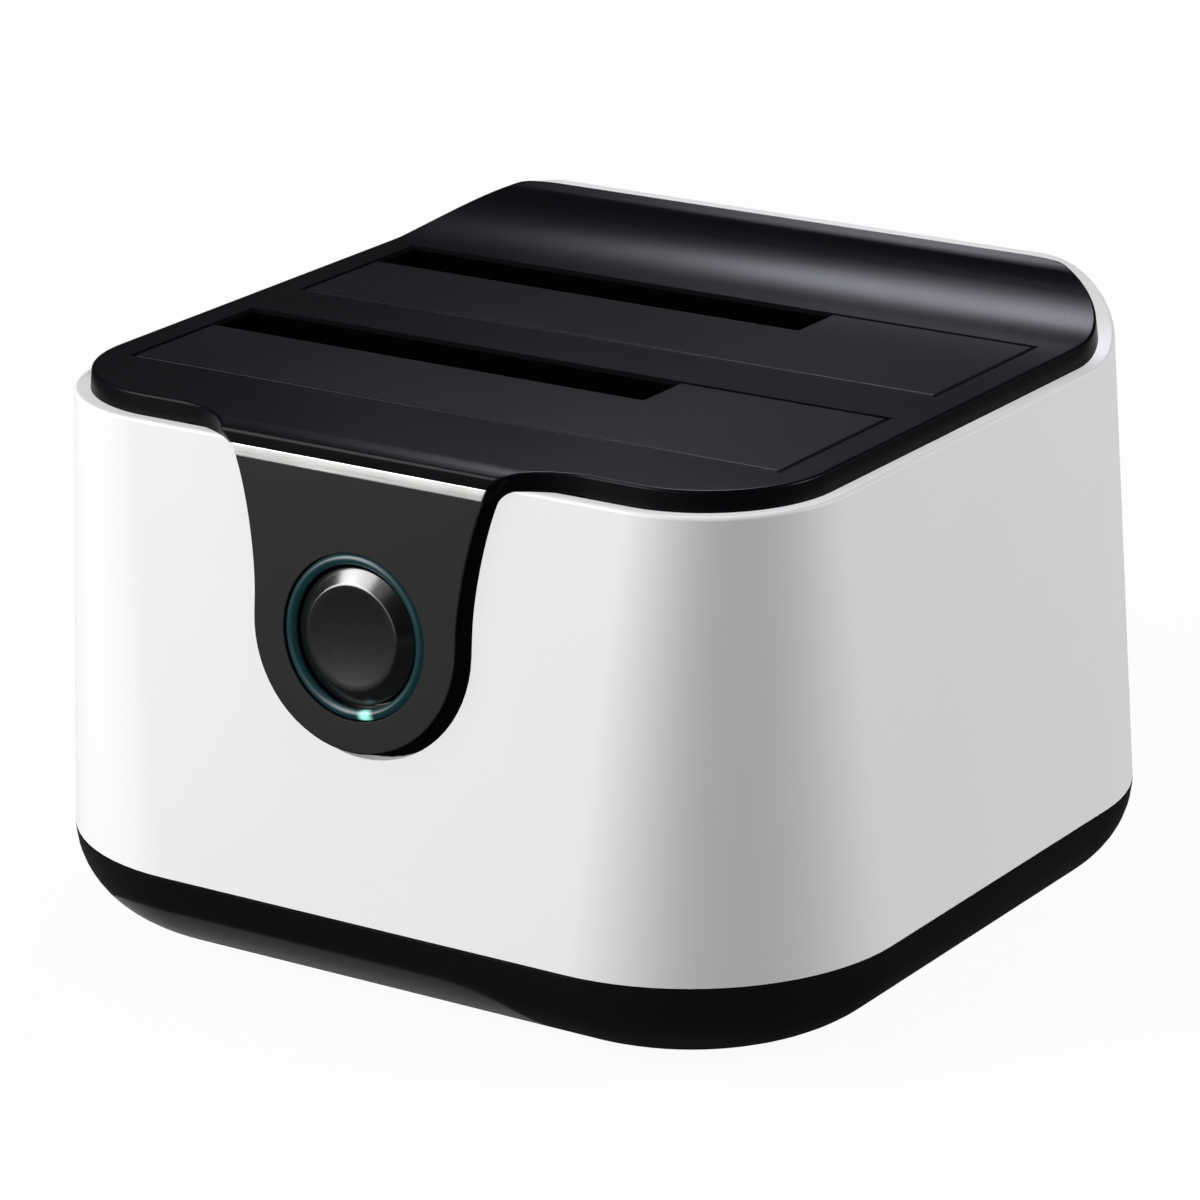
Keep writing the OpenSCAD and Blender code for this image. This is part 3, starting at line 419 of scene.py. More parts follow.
# The tongue's face is measured up the leaning front from the middle of the button.
button_low, button_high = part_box("power_button")
tilt = asin(front_lean / sqrt(front_lean ** 2 + (lip - seam) ** 2))
tongue_rise = 0.0217
button_height = lip - tongue_rise
face_origin = Vector((0, shell_line(button_height)[1], button_height))
face_up = Vector((0, sin(tilt), cos(tilt)))
face_out = Vector((0, -cos(tilt), sin(tilt)))
face_axes = Matrix((Vector((1, 0, 0)), face_up, face_out)).transposed().to_4x4()
on_face = Matrix.Translation(face_origin) @ face_axes
tongue_top = tongue_rise / cos(tilt)
tongue_radius = 0.0162
face_drop, foot_drop = 0.0003, 0.0012
tongue_draft = 0.0003
flare_start = 0.002
flare_radius = 0.0487
flare_angle = radians(21)
flare_reach = flare_radius * tan(flare_angle / 2)
flare_bend = flare_start + flare_reach
brow = 0.0032


def tongue_half(height):
    """Half width of the tongue's face where it flares, at a height up the face."""
    return tongue_radius + (height - flare_bend) * tan(flare_angle)


def tongue_corners(grow, top, drop):
    """Corner points of the tongue's outline from its top left to its top right, with their roundings."""
    radius = tongue_radius + grow
    left = [((-tongue_half(top) - grow, top), 0), ((-radius, flare_bend), flare_reach),
            ((-radius, -radius - drop), radius)]
    return left + [((-x, y), reach) for (x, y), reach in reversed(left)]


tongue_wide = tongue_half(tongue_top)


def soften(bm, corners):
    """Rounds corner points of a flat outline, each by its own reach."""
    for vert, reach, steps in corners:
        if reach:
            bmesh.ops.bevel(bm, geom=[vert], offset=reach, offset_type="OFFSET", affect="VERTICES",
                            segments=steps, profile=0.5, material=-1)


bm = bmesh.new()
low = rounded_loop(bm, *shell_line(seam), seam)
high = rounded_loop(bm, *shell_line(crown), crown)
bmesh.ops.bridge_loops(bm, edges=low + high)
bmesh.ops.bisect_plane(bm, geom=bm.verts[:] + bm.edges[:] + bm.faces[:], plane_co=(0, sweep_start, 0),
                       plane_no=(0, 1, 0))
# Each upright line of the wall is slid along itself until it ends on the swept lip.
for vert in [vert for vert in bm.verts if vert.co.z > lip]:
    foot = min((edge.other_vert(vert) for edge in vert.link_edges), key=lambda end: end.co.z)
    rise = vert.co - foot.co
    share = 1.0
    for _ in range(20):
        share = (swept(foot.co.y + rise.y * share, lip) - foot.co.z) / rise.z
    vert.co = foot.co + rise * share

face = min(bm.faces, key=lambda face: face.calc_center_median().y)
corners = sorted(face.verts, key=lambda vert: (round(vert.co.z, 4), vert.co.x))
bottom_left, bottom_right, top_left, top_right = corners
ridge = [edge for edge in face.edges if set(edge.verts) == {top_left, top_right}]
bmesh.ops.delete(bm, geom=[face], context="FACES_ONLY")
bmesh.ops.delete(bm, geom=ridge, context="EDGES")
notch_gap = fit_gap / 3
notch = [(bm.verts.new(on_face @ Vector((x, y, 0))), reach)
         for (x, y), reach in tongue_corners(tongue_draft + notch_gap, tongue_top, foot_drop)]
bm.faces.new([bottom_left, bottom_right, top_right, *[vert for vert, reach in reversed(notch)], top_left])
brow_ends = (notch[0][0], notch[-1][0])
soften(bm, [(vert, brow if vert in brow_ends else reach, 8 if vert in brow_ends else 16)
            for vert, reach in notch])



def only(kind, geom):
    """The vertices, the edges or the faces of a mixed list."""
    return [part for part in geom if isinstance(part, kind)]


window_half = 0.0235
window_low, window_high = 0.0170, 0.0318
region = [max(bm.faces, key=lambda face: face.calc_center_median().y)]
for spot, normal in (((-window_half, 0, 0), (1, 0, 0)), ((window_half, 0, 0), (1, 0, 0)),
                     ((0, 0, window_low), (0, 0, 1)), ((0, 0, window_high), (0, 0, 1))):
    edges = {edge for face in region for edge in face.edges}
    verts = {vert for face in region for vert in face.verts}
    made = bmesh.ops.bisect_plane(bm, geom=[*region, *edges, *verts], plane_co=spot, plane_no=normal)
    region = only(bmesh.types.BMFace, made["geom"])
middle = [face for face in region if abs(face.calc_center_median().x) < window_half
          and window_low < face.calc_center_median().z < window_high]
bmesh.ops.delete(bm, geom=middle, context="FACES_ONLY")
merge(bm)
bmesh.ops.recalc_face_normals(bm, faces=bm.faces)
outside = set(bm.verts)
bmesh.ops.solidify(bm, geom=bm.faces[:], thickness=wall)
lip_reach = 0.0002
lip_round, edge_round = 0.0005, 0.00025


def at_lip(edge):
    return all(vert.co.z > swept(vert.co.y, lip) - lip_reach for vert in edge.verts)


ease(bm, lip_round, 2, keep=lambda edge: at_lip(edge) and not any(vert in outside for vert in edge.verts))
ease(bm, lip_round, 3, keep=lambda edge: at_lip(edge) and all(vert in outside for vert in edge.verts),
     clamp=False)
ease(bm, edge_round, 2, 0.9)
shell_white = plastic("satin white", (0.83, 0.83, 0.825), 0.46, 1500, 0.000008, level=0.3, drift=0.015)
piece("shell_sleeve", bm, shell_white, "shell_white", "outer_shell")


# Back plate and sockets: a black plate in the shell's window with the data socket and power inlet.
# Moulded ABS plate; the sockets are bought-in parts soldered to the main board behind it.
panel_black = plastic("satin black", (0.013, 0.013, 0.014), 0.4, 1500, 0.00002)
socket_steel = steel("tinned steel", (0.66, 0.67, 0.69), 0.26, (0.06, 1.0, 1.0))
port_blue = plastic("socket blue", (0.02, 0.09, 0.34), 0.4, 2000, 0.00002)
pin_steel = steel("drawn steel", (0.58, 0.59, 0.61), 0.25, (0.04, 1.0, 1.0))
eased_copy("back_plate", "rear_panel", 0.0002, panel_black, "base_black")
eased_copy("data_socket", "usb_socket", 0.00015, socket_steel, "socket_steel")
eased_copy("data_tongue", "usb_tongue", 0.0002, port_blue, "port_blue")
eased_copy("power_inlet", "dc_jack", 0.0003, connector_black, "jack_black")
eased_copy("inlet_pin", "dc_pin", 0.0003, pin_steel, "pin_steel", segments=3)


# Deck: the black cap with the two bays, swept up at the back and drawn out over the face as a visor.
# One satin black ABS moulding whose rim stands inside the shell's lip; hinge lugs hang below it, and
# each bay's walls are a separate sheet in a near-zero black without gloss, as painted shade inside the bays.
cap_inset = wall + fit_gap
deck_thick = 0.002
deck_under = deck_top - deck_thick
skirt = 0.0015
cap_half, cap_front, cap_back, cap_radius = [part + way * cap_inset for part, way in
                                             zip(shell_line(deck_top), (-1, 1, -1, -1))]
low_half, low_front, low_back, _ = [part + way * cap_inset for part, way in
                                    zip(shell_line(lip - skirt), (-1, 1, -1, -1))]
visor_overhang = 0.0018
visor_half = tongue_wide + visor_overhang
visor_flow = 0.012
visor_corner = 0.0008
tongue_proud = 0.0030
strip_drop, strip_rise = 0.0015, 0.0001
strip_low, strip_high = tongue_top - strip_drop, tongue_top + strip_rise


def face_at(height, out):
    """Y of the plane that lies a little way out from the leaning front, at a height."""
    return face_origin.y + (height - face_origin.z) * tan(tilt) - out / cos(tilt)


visor_front = face_at(deck_top, tongue_proud)
bay_half = 0.05175
bay_depth = 0.0279
door_gap = 0.0005
bays = [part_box(door)[1].y + door_gap - bay_depth for door in ("front_door", "rear_door")]
bm = bmesh.new()
flow_angle = acos(1 - (cap_front - visor_front) / visor_flow)
flow_reach = visor_flow * tan(flow_angle / 2)
flow_corner = visor_half + flow_reach * cos(flow_angle)
corners = [((-cap_half, cap_front), cap_radius, 24), ((-flow_corner, cap_front), flow_reach * 0.999, 14),
           ((-visor_half, visor_front), visor_corner, 6), ((visor_half, visor_front), visor_corner, 6),
           ((flow_corner, cap_front), flow_reach * 0.999, 14), ((cap_half, cap_front), cap_radius, 24),
           ((cap_half, cap_back), cap_radius, 24), ((-cap_half, cap_back), cap_radius, 24)]
outline = [(bm.verts.new((*spot, deck_top)), reach, steps) for spot, reach, steps in corners]
bm.faces.new([vert for vert, reach, steps in outline])
soften(bm, outline)
lines = [((0, y, 0), (0, 1, 0)) for bay in bays for y in (bay, bay + bay_depth)]
lines += [((x, 0, 0), (1, 0, 0)) for x in (-bay_half, bay_half)]
sweep_lines, sweep_margin = 16, 0.002
sweep_step = (cap_back - sweep_margin - sweep_start) / sweep_lines
lines += [((0, sweep_start + run * sweep_step, 0), (0, 1, 0)) for run in range(sweep_lines + 1)]
droop_step, droop_reach, droop_curve = 0.0009, 0.0036, 0.022
lines += [((0, visor_front + run * droop_step, 0), (0, 1, 0)) for run in (1, 2, 3, 4)]
for spot, normal in lines:
    bmesh.ops.bisect_plane(bm, geom=bm.verts[:] + bm.edges[:] + bm.faces[:], plane_co=spot, plane_no=normal)
spots = [(face, face.calc_center_median()) for face in bm.faces]
bmesh.ops.delete(bm, geom=[face for face, spot in spots if abs(spot.x) < bay_half
                           and any(bay < spot.y < bay + bay_depth for bay in bays)], context="FACES")
for vert in bm.verts:
    droop = max(visor_front + droop_reach - vert.co.y, 0) ** 2 / droop_curve
    vert.co.z = min(swept(vert.co.y, deck_top), crown) - droop
    share = max(vert.co.z - deck_top, 0) / (lip - seam)
    vert.co.x -= side_lean * share * vert.co.x / cap_half
    vert.co.y -= back_lean * share
nearly = 1e-5


def round_bay(edge):
    """Whether an edge of the deck's sheet runs round a bay."""
    near, far = bays[0] - nearly, bays[1] + bay_depth + nearly
    return all(abs(vert.co.x) < bay_half + nearly and near < vert.co.y < far for vert in edge.verts)


hole_edges = [edge for edge in bm.edges if edge.is_boundary and round_bay(edge)]
rim_edges = [edge for edge in bm.edges if edge.is_boundary and not round_bay(edge)]
hole_drop = 0.0007
rim_round = 0.0004
fascia_depth = 0.0006
lip_clear = 0.00005
fascia_foot = face_origin.z + strip_high * cos(tilt) + tongue_proud * sin(tilt)
made = bmesh.ops.extrude_edge_only(bm, edges=hole_edges)
for vert in only(bmesh.types.BMVert, made["geom"]):
    vert.co.z = deck_top - hole_drop
made = bmesh.ops.extrude_edge_only(bm, edges=rim_edges)
for vert in only(bmesh.types.BMVert, made["geom"]):
    if vert.co.y < cap_front - nearly:
        low = fascia_foot if vert.co.y < visor_front + fascia_depth else lip + lip_clear
        outward = min((cap_front - vert.co.y) / (cap_front - visor_front), 1)
        vert.co.x *= 1 - (1 - tongue_wide / visor_half) * outward
        vert.co.y -= tan(tilt) * (vert.co.z - low)
        vert.co.z = low
    else:
        vert.co.x *= low_half / cap_half
        vert.co.y = low_front + (vert.co.y - cap_front) * (low_back - low_front) / (cap_back - cap_front)
        vert.co.z = swept(vert.co.y, lip) - skirt
bmesh.ops.recalc_face_normals(bm, faces=bm.faces)
bmesh.ops.bevel(bm, geom=rim_edges, offset=rim_round, offset_type="OFFSET", affect="EDGES", segments=4,
                profile=0.5, material=-1, clamp_overlap=False)
hinge_forward, hinge_drop = 0.0028, 0.0043
lug_places = (-0.0425, 0, 0.0425)
lug_wide, lug_deep, lug_below = 0.003, 0.005, 0.0025
hinges = [Vector((0, bay - hinge_forward, deck_top - hinge_drop)) for bay in bays]
for hinge in hinges:
    lug_foot = hinge.z - lug_below
    for x in lug_places:
        lug_middle = (x, hinge.y, (lug_foot + deck_under) / 2)
        bmesh.ops.create_cube(bm, size=1.0, matrix=Matrix.Translation(lug_middle)
                              @ Matrix.Diagonal((lug_wide, lug_deep, deck_under - lug_foot, 1)))
# The bays' walls are a separate sheet in the wells' near-zero black: painted shade inside the bays.
lining = bmesh.new()
lining_corner = 0.0002
lining_lap, lining_drop = 0.0001, 0.0004
levels = [(lining_lap, deck_top - lining_drop), (0, deck_top - hole_drop), (0, deck_under)]
for bay in bays:
    rings = [rounded_loop(lining, bay_half + grow, bay - grow, bay + bay_depth + grow,
                          lining_corner, height, 2)
             for grow, height in levels]
    for upper, lower in zip(rings, rings[1:]):
        bmesh.ops.bridge_loops(lining, edges=upper + lower)
piece("bay_wall_shade_sheet", lining, well_black, "deck_black", "top_deck")
deck_black = plastic("deck black", (0.0034, 0.0034, 0.0047), 0.30, 1900, 0.000002, level=0.045)
deck_cap = piece("deck_cap", bm, deck_black, "deck_black", "top_deck")
deck_cap.visible_shadow = False


# Tongue: the part of the deck's moulding that folds down the front and carries the face plate.
# Dead black on its sides, open for the light ring, and shaped to fill the shell's notch.
ring_drop = 0.0009


def flat(bm, corners, out, hole=0.0):
    """A flat outline on the leaning front, with its corners rounded and perhaps a round hole."""
    broad = 0.004
    points = [(bm.verts.new((x, y, out)), reach, 16 if reach > broad else 6) for (x, y), reach in corners]
    face = bm.faces.new([vert for vert, reach, steps in points])
    old = set(bm.faces) - {face}
    soften(bm, points)
    merge(bm)
    face = next(face for face in bm.faces if face not in old)
    if hole:
        edges = list(face.edges)
        bmesh.ops.delete(bm, geom=[face], context="FACES_ONLY")
        circle = bmesh.ops.create_circle(bm, segments=96, radius=hole,
                                         matrix=Matrix.Translation((0, -ring_drop, out)))
        edges += [*{edge for vert in circle["verts"] for edge in vert.link_edges}]
        bmesh.ops.triangle_fill(bm, use_beauty=True, use_dissolve=False, edges=edges, normal=(0, 0, 1))
        return [face for face in bm.faces if face not in old]
    return [face]


def thicken(bm, faces, depth):
    """Draws flat faces straight out into a solid."""
    made = bmesh.ops.extrude_face_region(bm, geom=faces, use_keep_orig=True)
    bmesh.ops.translate(bm, vec=(0, 0, depth), verts=only(bmesh.types.BMVert, made["geom"]))


ring_radius = 0.0110
panel_hole = ring_radius + fit_gap
hole_margin = 0.0005
body_back = -0.0023
lip_inset = 0.00012
ear_out, ear_drop, ear_back = 0.0014, 0.0023, 0.0011
ear_side, ear_thick = 0.0044, 0.0016
bm = bmesh.new()
thicken(bm, flat(bm, tongue_corners(tongue_draft, strip_high, foot_drop), body_back, panel_hole),
        tongue_proud - lip_inset - body_back)
taper = (tongue_radius - fit_gap) / (tongue_radius + tongue_draft)
for vert in bm.verts:
    if vert.co.z > 0 and sqrt(vert.co.x ** 2 + (vert.co.y + ring_drop) ** 2) > panel_hole + hole_margin:
        above = vert.co.y + foot_drop
        lift = (foot_drop - face_drop) * max(1 - max(above, 0) / tongue_top, 0)
        vert.co.x *= taper
        vert.co.y += lift + min(above, 0) * (taper - 1)
ease(bm, 0.00025, 2, 0.9)
for way in (-1, 1):
    ear = (way * (tongue_wide + ear_out), tongue_top - ear_drop, -ear_back)
    bmesh.ops.create_cube(bm, size=1.0, matrix=Matrix.Translation(ear)
                          @ Matrix.Diagonal((ear_side, ear_side, ear_thick, 1)))
bmesh.ops.transform(bm, matrix=on_face, verts=bm.verts)
tongue_black = plastic("polished tongue", (0.0035, 0.0035, 0.0040), 0.24, 1500, 0.000005, level=0.0)
tongue = piece("deck_tongue", bm, tongue_black, "deck_black", "top_deck")
tongue.visible_shadow = False


# Face plate: the matt dark sheet let into the tongue around the ring.
# Moulded ABS with a fine matt texture, glued down inside the tongue's rim.
bm = bmesh.new()
plate_thick = 0.0008
plate_corners = tongue_corners(-fit_gap - lip_inset, strip_low, face_drop)
thicken(bm, flat(bm, plate_corners, tongue_proud - plate_thick, panel_hole), plate_thick)
ease(bm, 0.00012, 2, 0.9)
bmesh.ops.transform(bm, matrix=on_face, verts=bm.verts)
panel_grey = plastic("matt face", (0.0130, 0.0130, 0.0130), 0.6, 2600, 0.00002, level=0.12)
face_plate = piece("face_plate", bm, panel_grey, "panel_grey", "front_panel")
face_plate.visible_shadow = False


# Trim strip: the bright line between the visor and the face plate.
# Brushed aluminium bar with bevelled edges, glued into the tongue.
bm = bmesh.new()
strip_lean = 0.0001
strip_thick = 0.0016
strip_inset = 0.0004
ends = [(tongue_half(height) - strip_inset, height) for height in (strip_high, strip_low)]
thicken(bm, flat(bm, [((-x, y), 0) for x, y in ends] + [((x, y), 0) for x, y in reversed(ends)],
                 tongue_proud - strip_thick), strip_thick)
for vert in bm.verts:
    if vert.co.z > tongue_proud - nearly and vert.co.y < (strip_low + strip_high) / 2:
        vert.co.z += strip_lean
ease(bm, 0.0001, 2, 0.9)
bmesh.ops.transform(bm, matrix=on_face, verts=bm.verts)
strip_silver = steel("brushed aluminium", (0.35, 0.347, 0.34), 0.30, (0.02, 1.0, 1.0))
strip = piece("bright_strip", bm, strip_silver, "strip_silver", "trim_strip")
strip.visible_shadow = False


# Light ring: the clear teal ring around the button, lit from behind by four lamps.
# Tinted acrylic with a rounded crown and a flange clamped behind the face plate; below the crown its colour
# is painted darker with depth, as painted shade.
ring_tube = 0.0007
ring_middle = ring_radius - ring_tube
flange_radius = ring_radius + 0.0018
apron_back, flange_front = 0.0004, 0.0017
crown_steps = 20
turns = [pi * step / crown_steps for step in range(crown_steps + 1)]
crown_points = [(ring_middle + ring_tube * cos(turn), tongue_proud - ring_tube * (1 - sin(turn)))
                for turn in turns]
bm = bmesh.new()
lathe(bm, [(ring_middle - ring_tube, apron_back), (flange_radius, apron_back), (flange_radius, flange_front),
           (ring_radius, flange_front), *crown_points, (ring_middle - ring_tube, apron_back)], 128)
on_ring = on_face @ Matrix.Translation((0, -ring_drop, 0))
bmesh.ops.transform(bm, matrix=on_ring, verts=bm.verts)
ring_teal, skin, wire = skin_of("tinted acrylic")
place = wire.node("TexCoord", out="Object")
spot_angle = radians(-78)
spot_core, spot_edge = 0.0003, 0.0015
shade_and_glow_deep, shade_and_glow_clear = tongue_proud - 0.0012, tongue_proud - 0.0004
spot = on_ring @ Vector((ring_middle * cos(spot_angle), ring_middle * sin(spot_angle), tongue_proud))
far = wire.node("VectorMath", {"operation": "DISTANCE"}, {0: place, 1: spot}, out="Value")
near = wire.node("MapRange", {"interpolation_type": "SMOOTHSTEP"},
                 {"Value": far, "From Min": spot_core, "From Max": spot_edge, "To Min": 1.0, "To Max": 0.0})
out = wire.node("VectorMath", {"operation": "DOT_PRODUCT"}, {0: place, 1: face_out}, out="Value")
# Painted shade: below the crown the ring's colour falls to near black with depth, on its inner wall in the
# gap round the button and on its flange behind the plate; the glow fades over the same depth.
shown = wire.node("MapRange", {"interpolation_type": "SMOOTHSTEP"},
                  {"Value": out - face_out.dot(face_origin), "From Min": shade_and_glow_deep, "From Max": shade_and_glow_clear})
cloud = wire.node("TexNoise", values={"Vector": place, "Scale": 220.0, "Detail": 3.0})
glow = wire.node("ValToRGB", {"stops": [(0.0, (0, 0, 0)), (0.2, (0.003, 0.016, 0.019)),
                                        (1.0, (0.40, 0.95, 0.85))]}, {0: shown * (0.2 + near * 0.8)})
# Near black where deep and teal on the crown is painted shade; the cloud only varies the tone at random.
tint = wire.node("ValToRGB", {"stops": [(0.0, (0.001, 0.002, 0.002)), (0.5, (0.003, 0.011, 0.014)),
                                        (1.0, (0.005, 0.020, 0.026))]}, {0: shown * (0.5 + cloud * 0.5)})
wire.plug(skin, {"Base Color": tint, "Roughness": 0.25 + cloud * 0.1, "Emission Color": glow,
                 "Emission Strength": 1.0, "IOR": 1.49, "Specular IOR Level": 0.3})
piece("glow_ring", bm, ring_teal, "ring_teal", "light_ring")


# Power button: the round push button inside the ring; it travels and trips the switch.
# Moulded black ABS with a broad chamfer, a faintly dished face and a retaining flange.
bm = bmesh.new()
button_gap = 0.0004
button_radius = ring_middle - ring_tube - button_gap
button_face = 0.0034
button_bevel = 0.0021
bevel_depth = 0.0014
button_dish = 0.0003
dish_steps = 8
stop_radius = button_radius + 0.0016
stop_top = apron_back - 0.0003
stop_back = stop_top - 0.0012
shares = [step / dish_steps for step in range(dish_steps, -1, -1)]
lathe(bm, [(0, stop_back), (stop_radius, stop_back), (stop_radius, stop_top),
           (button_radius, stop_top), (button_radius, button_face - bevel_depth),
           *[((button_radius - button_bevel) * share, button_face - button_dish * (1 - share ** 2))
             for share in shares]], 96)
ease(bm, 0.0002, 3, 0.5)
bmesh.ops.transform(bm, matrix=on_ring, verts=bm.verts)
button_black = plastic("button black", (0.0035, 0.0035, 0.0037), 0.20, 2200, 0.000003, level=0.9)
piece("push_button", bm, button_black, "button_black", "power_button", body="power_button")
switch_white = plastic("switch nylon", (0.75, 0.75, 0.72), 0.45, 2200, 0.00003)
eased_copy("plunger", "switch_plunger", 0.0002, switch_white, "switch_white", body="power_button")


# Button board: a small circuit board behind the tongue with the switch, four lamps and a flat lead.
# Glass-epoxy laminate held by two screws; the lead folds down to the main board.
led_clear, skin, wire = skin_of("lamp epoxy")
place = wire.node("TexCoord", out="Object")
cloud = wire.node("TexNoise", values={"Vector": place, "Scale": 700.0, "Detail": 2.0})
tone = wire.node("ValToRGB", {"stops": [(0.3, (0.5, 0.72, 0.7)), (0.7, (0.75, 0.9, 0.87))]}, {0: cloud})
wire.plug(skin, {"Base Color": tone, "Roughness": 0.15 + cloud * 0.1, "Emission Color": tone,
                 "Emission Strength": 0.4})
ribbon_grey, skin, wire = skin_of("flat lead")
place = wire.node("TexCoord", out="Object")
cores = wire.node("TexWave", {"bands_direction": "X"}, {"Vector": place, "Scale": 160.0, "Distortion": 0.05})
tone = wire.node("ValToRGB", {"stops": [(0.25, (0.10, 0.10, 0.11)), (0.6, (0.34, 0.34, 0.36))]}, {0: cores})
raised = wire.node("Bump", values={"Strength": 0.5, "Distance": 0.0001, "Height": cores})
wire.plug(skin, {"Base Color": tone, "Roughness": 0.42 + cores * 0.1, "Normal": raised})
socket_ivory = plastic("ivory nylon", (0.62, 0.58, 0.46), 0.5, 2000, 0.00003)
eased_copy("small_board", "button_board", 0.0001, board_green, "board_green")
eased_copy("ring_lamps", "status_leds", 0.0001, led_clear, "led_clear")
eased_copy("push_switch", "power_switch", 0.0002, chip_black, "chip_black")
eased_copy("small_board_screws", "button_board_screws", 0.0001, screw_steel, "screw_steel")
eased_copy("flat_lead", "button_ribbon", 0, ribbon_grey, "ribbon_grey")
eased_copy("lead_sockets", "ribbon_sockets", 0.0001, socket_ivory, "socket_ivory")


# Doors: the two L-shaped flaps that cover the bays and leave a slot for small drives.
# Moulded ABS plates, a shade more matt than the deck, with knuckles on arms under the front edge.
door_grey = plastic("door grey", (0.0058, 0.0058, 0.0075), 0.34, 2300, 0.000003, level=0.045)
door_thick = 0.0018
door_corner, door_round = 0.0004, 0.00045
slot_right = 0.01945
slot_width = 0.0097
knuckle_radius = 0.002
knuckle_half = 0.004
knuckle_place = 0.036
pin_radius = 0.0011
arm = [(0, 0.0019), (0.0033, 0.0019), (0.0033, 0.0034), (0.0073, 0.0034), (0.0073, 0.0025), (0, -0.0019)]
for name, bay, hinge in zip(("front_door", "rear_door"), bays, hinges):
    bm = bmesh.new()
    half, near = bay_half - door_gap, bay + door_gap
    step, back = bay + bay_depth - slot_width, bay + bay_depth - door_gap
    points = [(-half, near), (half, near), (half, back), (slot_right, back), (slot_right, step),
              (-half, step)]
    plate = [(bm.verts.new((*point, deck_top - door_thick)), door_corner, 4) for point in points]
    bm.faces.new([vert for vert, reach, steps in plate])
    soften(bm, plate)
    thicken(bm, bm.faces[:], door_thick)
    ease(bm, door_round, 4, 0.9)
    for x in (-knuckle_place, knuckle_place):
        side = bm.faces.new([bm.verts.new(hinge + Vector((x - knuckle_half, y, z))) for y, z in arm])
        made = bmesh.ops.extrude_face_region(bm, geom=[side], use_keep_orig=True)
        bmesh.ops.translate(bm, vec=(2 * knuckle_half, 0, 0), verts=only(bmesh.types.BMVert, made["geom"]))
        lathe(bm, [(pin_radius, -knuckle_half), (knuckle_radius, -knuckle_half),
                   (knuckle_radius, knuckle_half), (pin_radius, knuckle_half),
                   (pin_radius, -knuckle_half)], 40,
              Matrix.Translation(hinge + Vector((x, 0, 0))) @ Matrix.Rotation(pi / 2, 4, "Y"))
    piece(name + "_flap", bm, door_grey, "door_grey", name, body=name)


# Hinge pins and springs: a rod through each door's knuckles, and a coil that shuts the door.
# Drawn steel rod, and music wire wound five turns with a leg under the deck and a leg under the flap.
spring_steel = steel("music wire", (0.10, 0.10, 0.105), 0.42)
wire_radius = 0.0003
coil_radius = 0.0017
coil_pitch = 0.00105
coil_turns = 5
turn_steps = 24
coil_gap = 0.001
deck_leg, flap_leg = 0.0045, 0.0078
coil_start = knuckle_place - knuckle_half - coil_gap - coil_turns * coil_pitch
for name, hinge in zip(("front_door", "rear_door"), hinges):
    eased_copy(name + "_rod", name + "_pin", 0.0002, pin_steel, "pin_steel", segments=3)
    bm = bmesh.new()
    ring = bmesh.ops.create_circle(bm, segments=12, radius=wire_radius,
                                   matrix=Matrix.Translation(hinge + Vector((coil_start, 0, coil_radius)))
                                   @ Matrix.Rotation(pi / 2, 4, "X"))["verts"]
    edges = [*{edge for vert in ring for edge in vert.link_edges}]
    start = bmesh.ops.extrude_edge_only(bm, edges=edges)["geom"]
    bmesh.ops.translate(bm, vec=(0, -deck_leg, 0), verts=only(bmesh.types.BMVert, start))
    made = bmesh.ops.spin(bm, geom=ring + edges, cent=hinge, axis=(1, 0, 0), angle=-2 * pi * coil_turns,
                          steps=coil_turns * turn_steps, dvec=(coil_pitch / turn_steps, 0, 0))["geom_last"]
    end = bmesh.ops.extrude_edge_only(bm, edges=only(bmesh.types.BMEdge, made))["geom"]
    bmesh.ops.translate(bm, vec=(0, flap_leg, 0), verts=only(bmesh.types.BMVert, end))
    bmesh.ops.holes_fill(bm, edges=[edge for edge in bm.edges if edge.is_boundary])
    piece(name + "_coil", bm, spring_steel, "spring_steel", name + "_spring")


# Studio: a pale floor, five soft lamps and a white surround, with dark flags and a card that only gloss
# sees. None of it belongs to the object.
def lamp(name, aim, direction, distance, size, level, tint=(1, 1, 1), matt=True, gloss=True):
    """A round soft lamp; level 1 lights a surface that faces it so that its colour renders as written."""
    light = bpy.data.lights.new(name, "AREA")
    light.shape = "DISK"
    light.size = size
    light.energy = level * (pi * distance) ** 2
    light.color = tint
    obj = bpy.data.objects.new(name, light)
    bpy.context.scene.collection.objects.link(obj)
    way = Vector(direction).normalized()
    obj.location = Vector(aim) + way * distance
    obj.rotation_euler = way.to_track_quat("Z", "Y").to_euler()
    obj.visible_diffuse, obj.visible_glossy = matt, gloss


lamp("key", (0, 0, 0.04), (-0.59, -0.71, 0.38), 1.6, 1.2, 1.32)
lamp("fill", (0, 0, 0.04), (0.85, 0.42, 0.32), 1.7, 0.5, 0.73, (0.96, 0.975, 1.0))
lamp("back", (0, 0, 0.04), (-0.20, 0.95, 0.15), 1.7, 0.6, 0.40, gloss=False)
lamp("sheen", (0.075, 0.042, 0.083), (-0.525, 0.46, 0.715), 0.45, 0.15, 0.75, (0.87, 0.88, 1.0), matt=False)
lamp("edge", (0, -0.058, 0.062), (-0.525, -0.476, 0.704), 0.22, 0.17, 1.35, matt=False)


def stage_sheet(name, bm, material):
    mesh = bpy.data.meshes.new(name)
    bm.to_mesh(mesh)
    bm.free()
    mesh.materials.append(material)
    obj = bpy.data.objects.new(name, mesh)
    bpy.context.scene.collection.objects.link(obj)
    return obj


def seen_rays(wire, most):
    """How far a ray is one that the camera, a gloss or a glass sends, up to a limit."""
    path = wire.tree.nodes.new("ShaderNodeLightPath")
    names = ("Is Camera Ray", "Is Glossy Ray", "Is Transmission Ray")
    kinds = [Wire(wire.tree, path.outputs[name]) for name in names]
    return wire.math("MINIMUM", kinds[0] + kinds[1] + kinds[2], most)


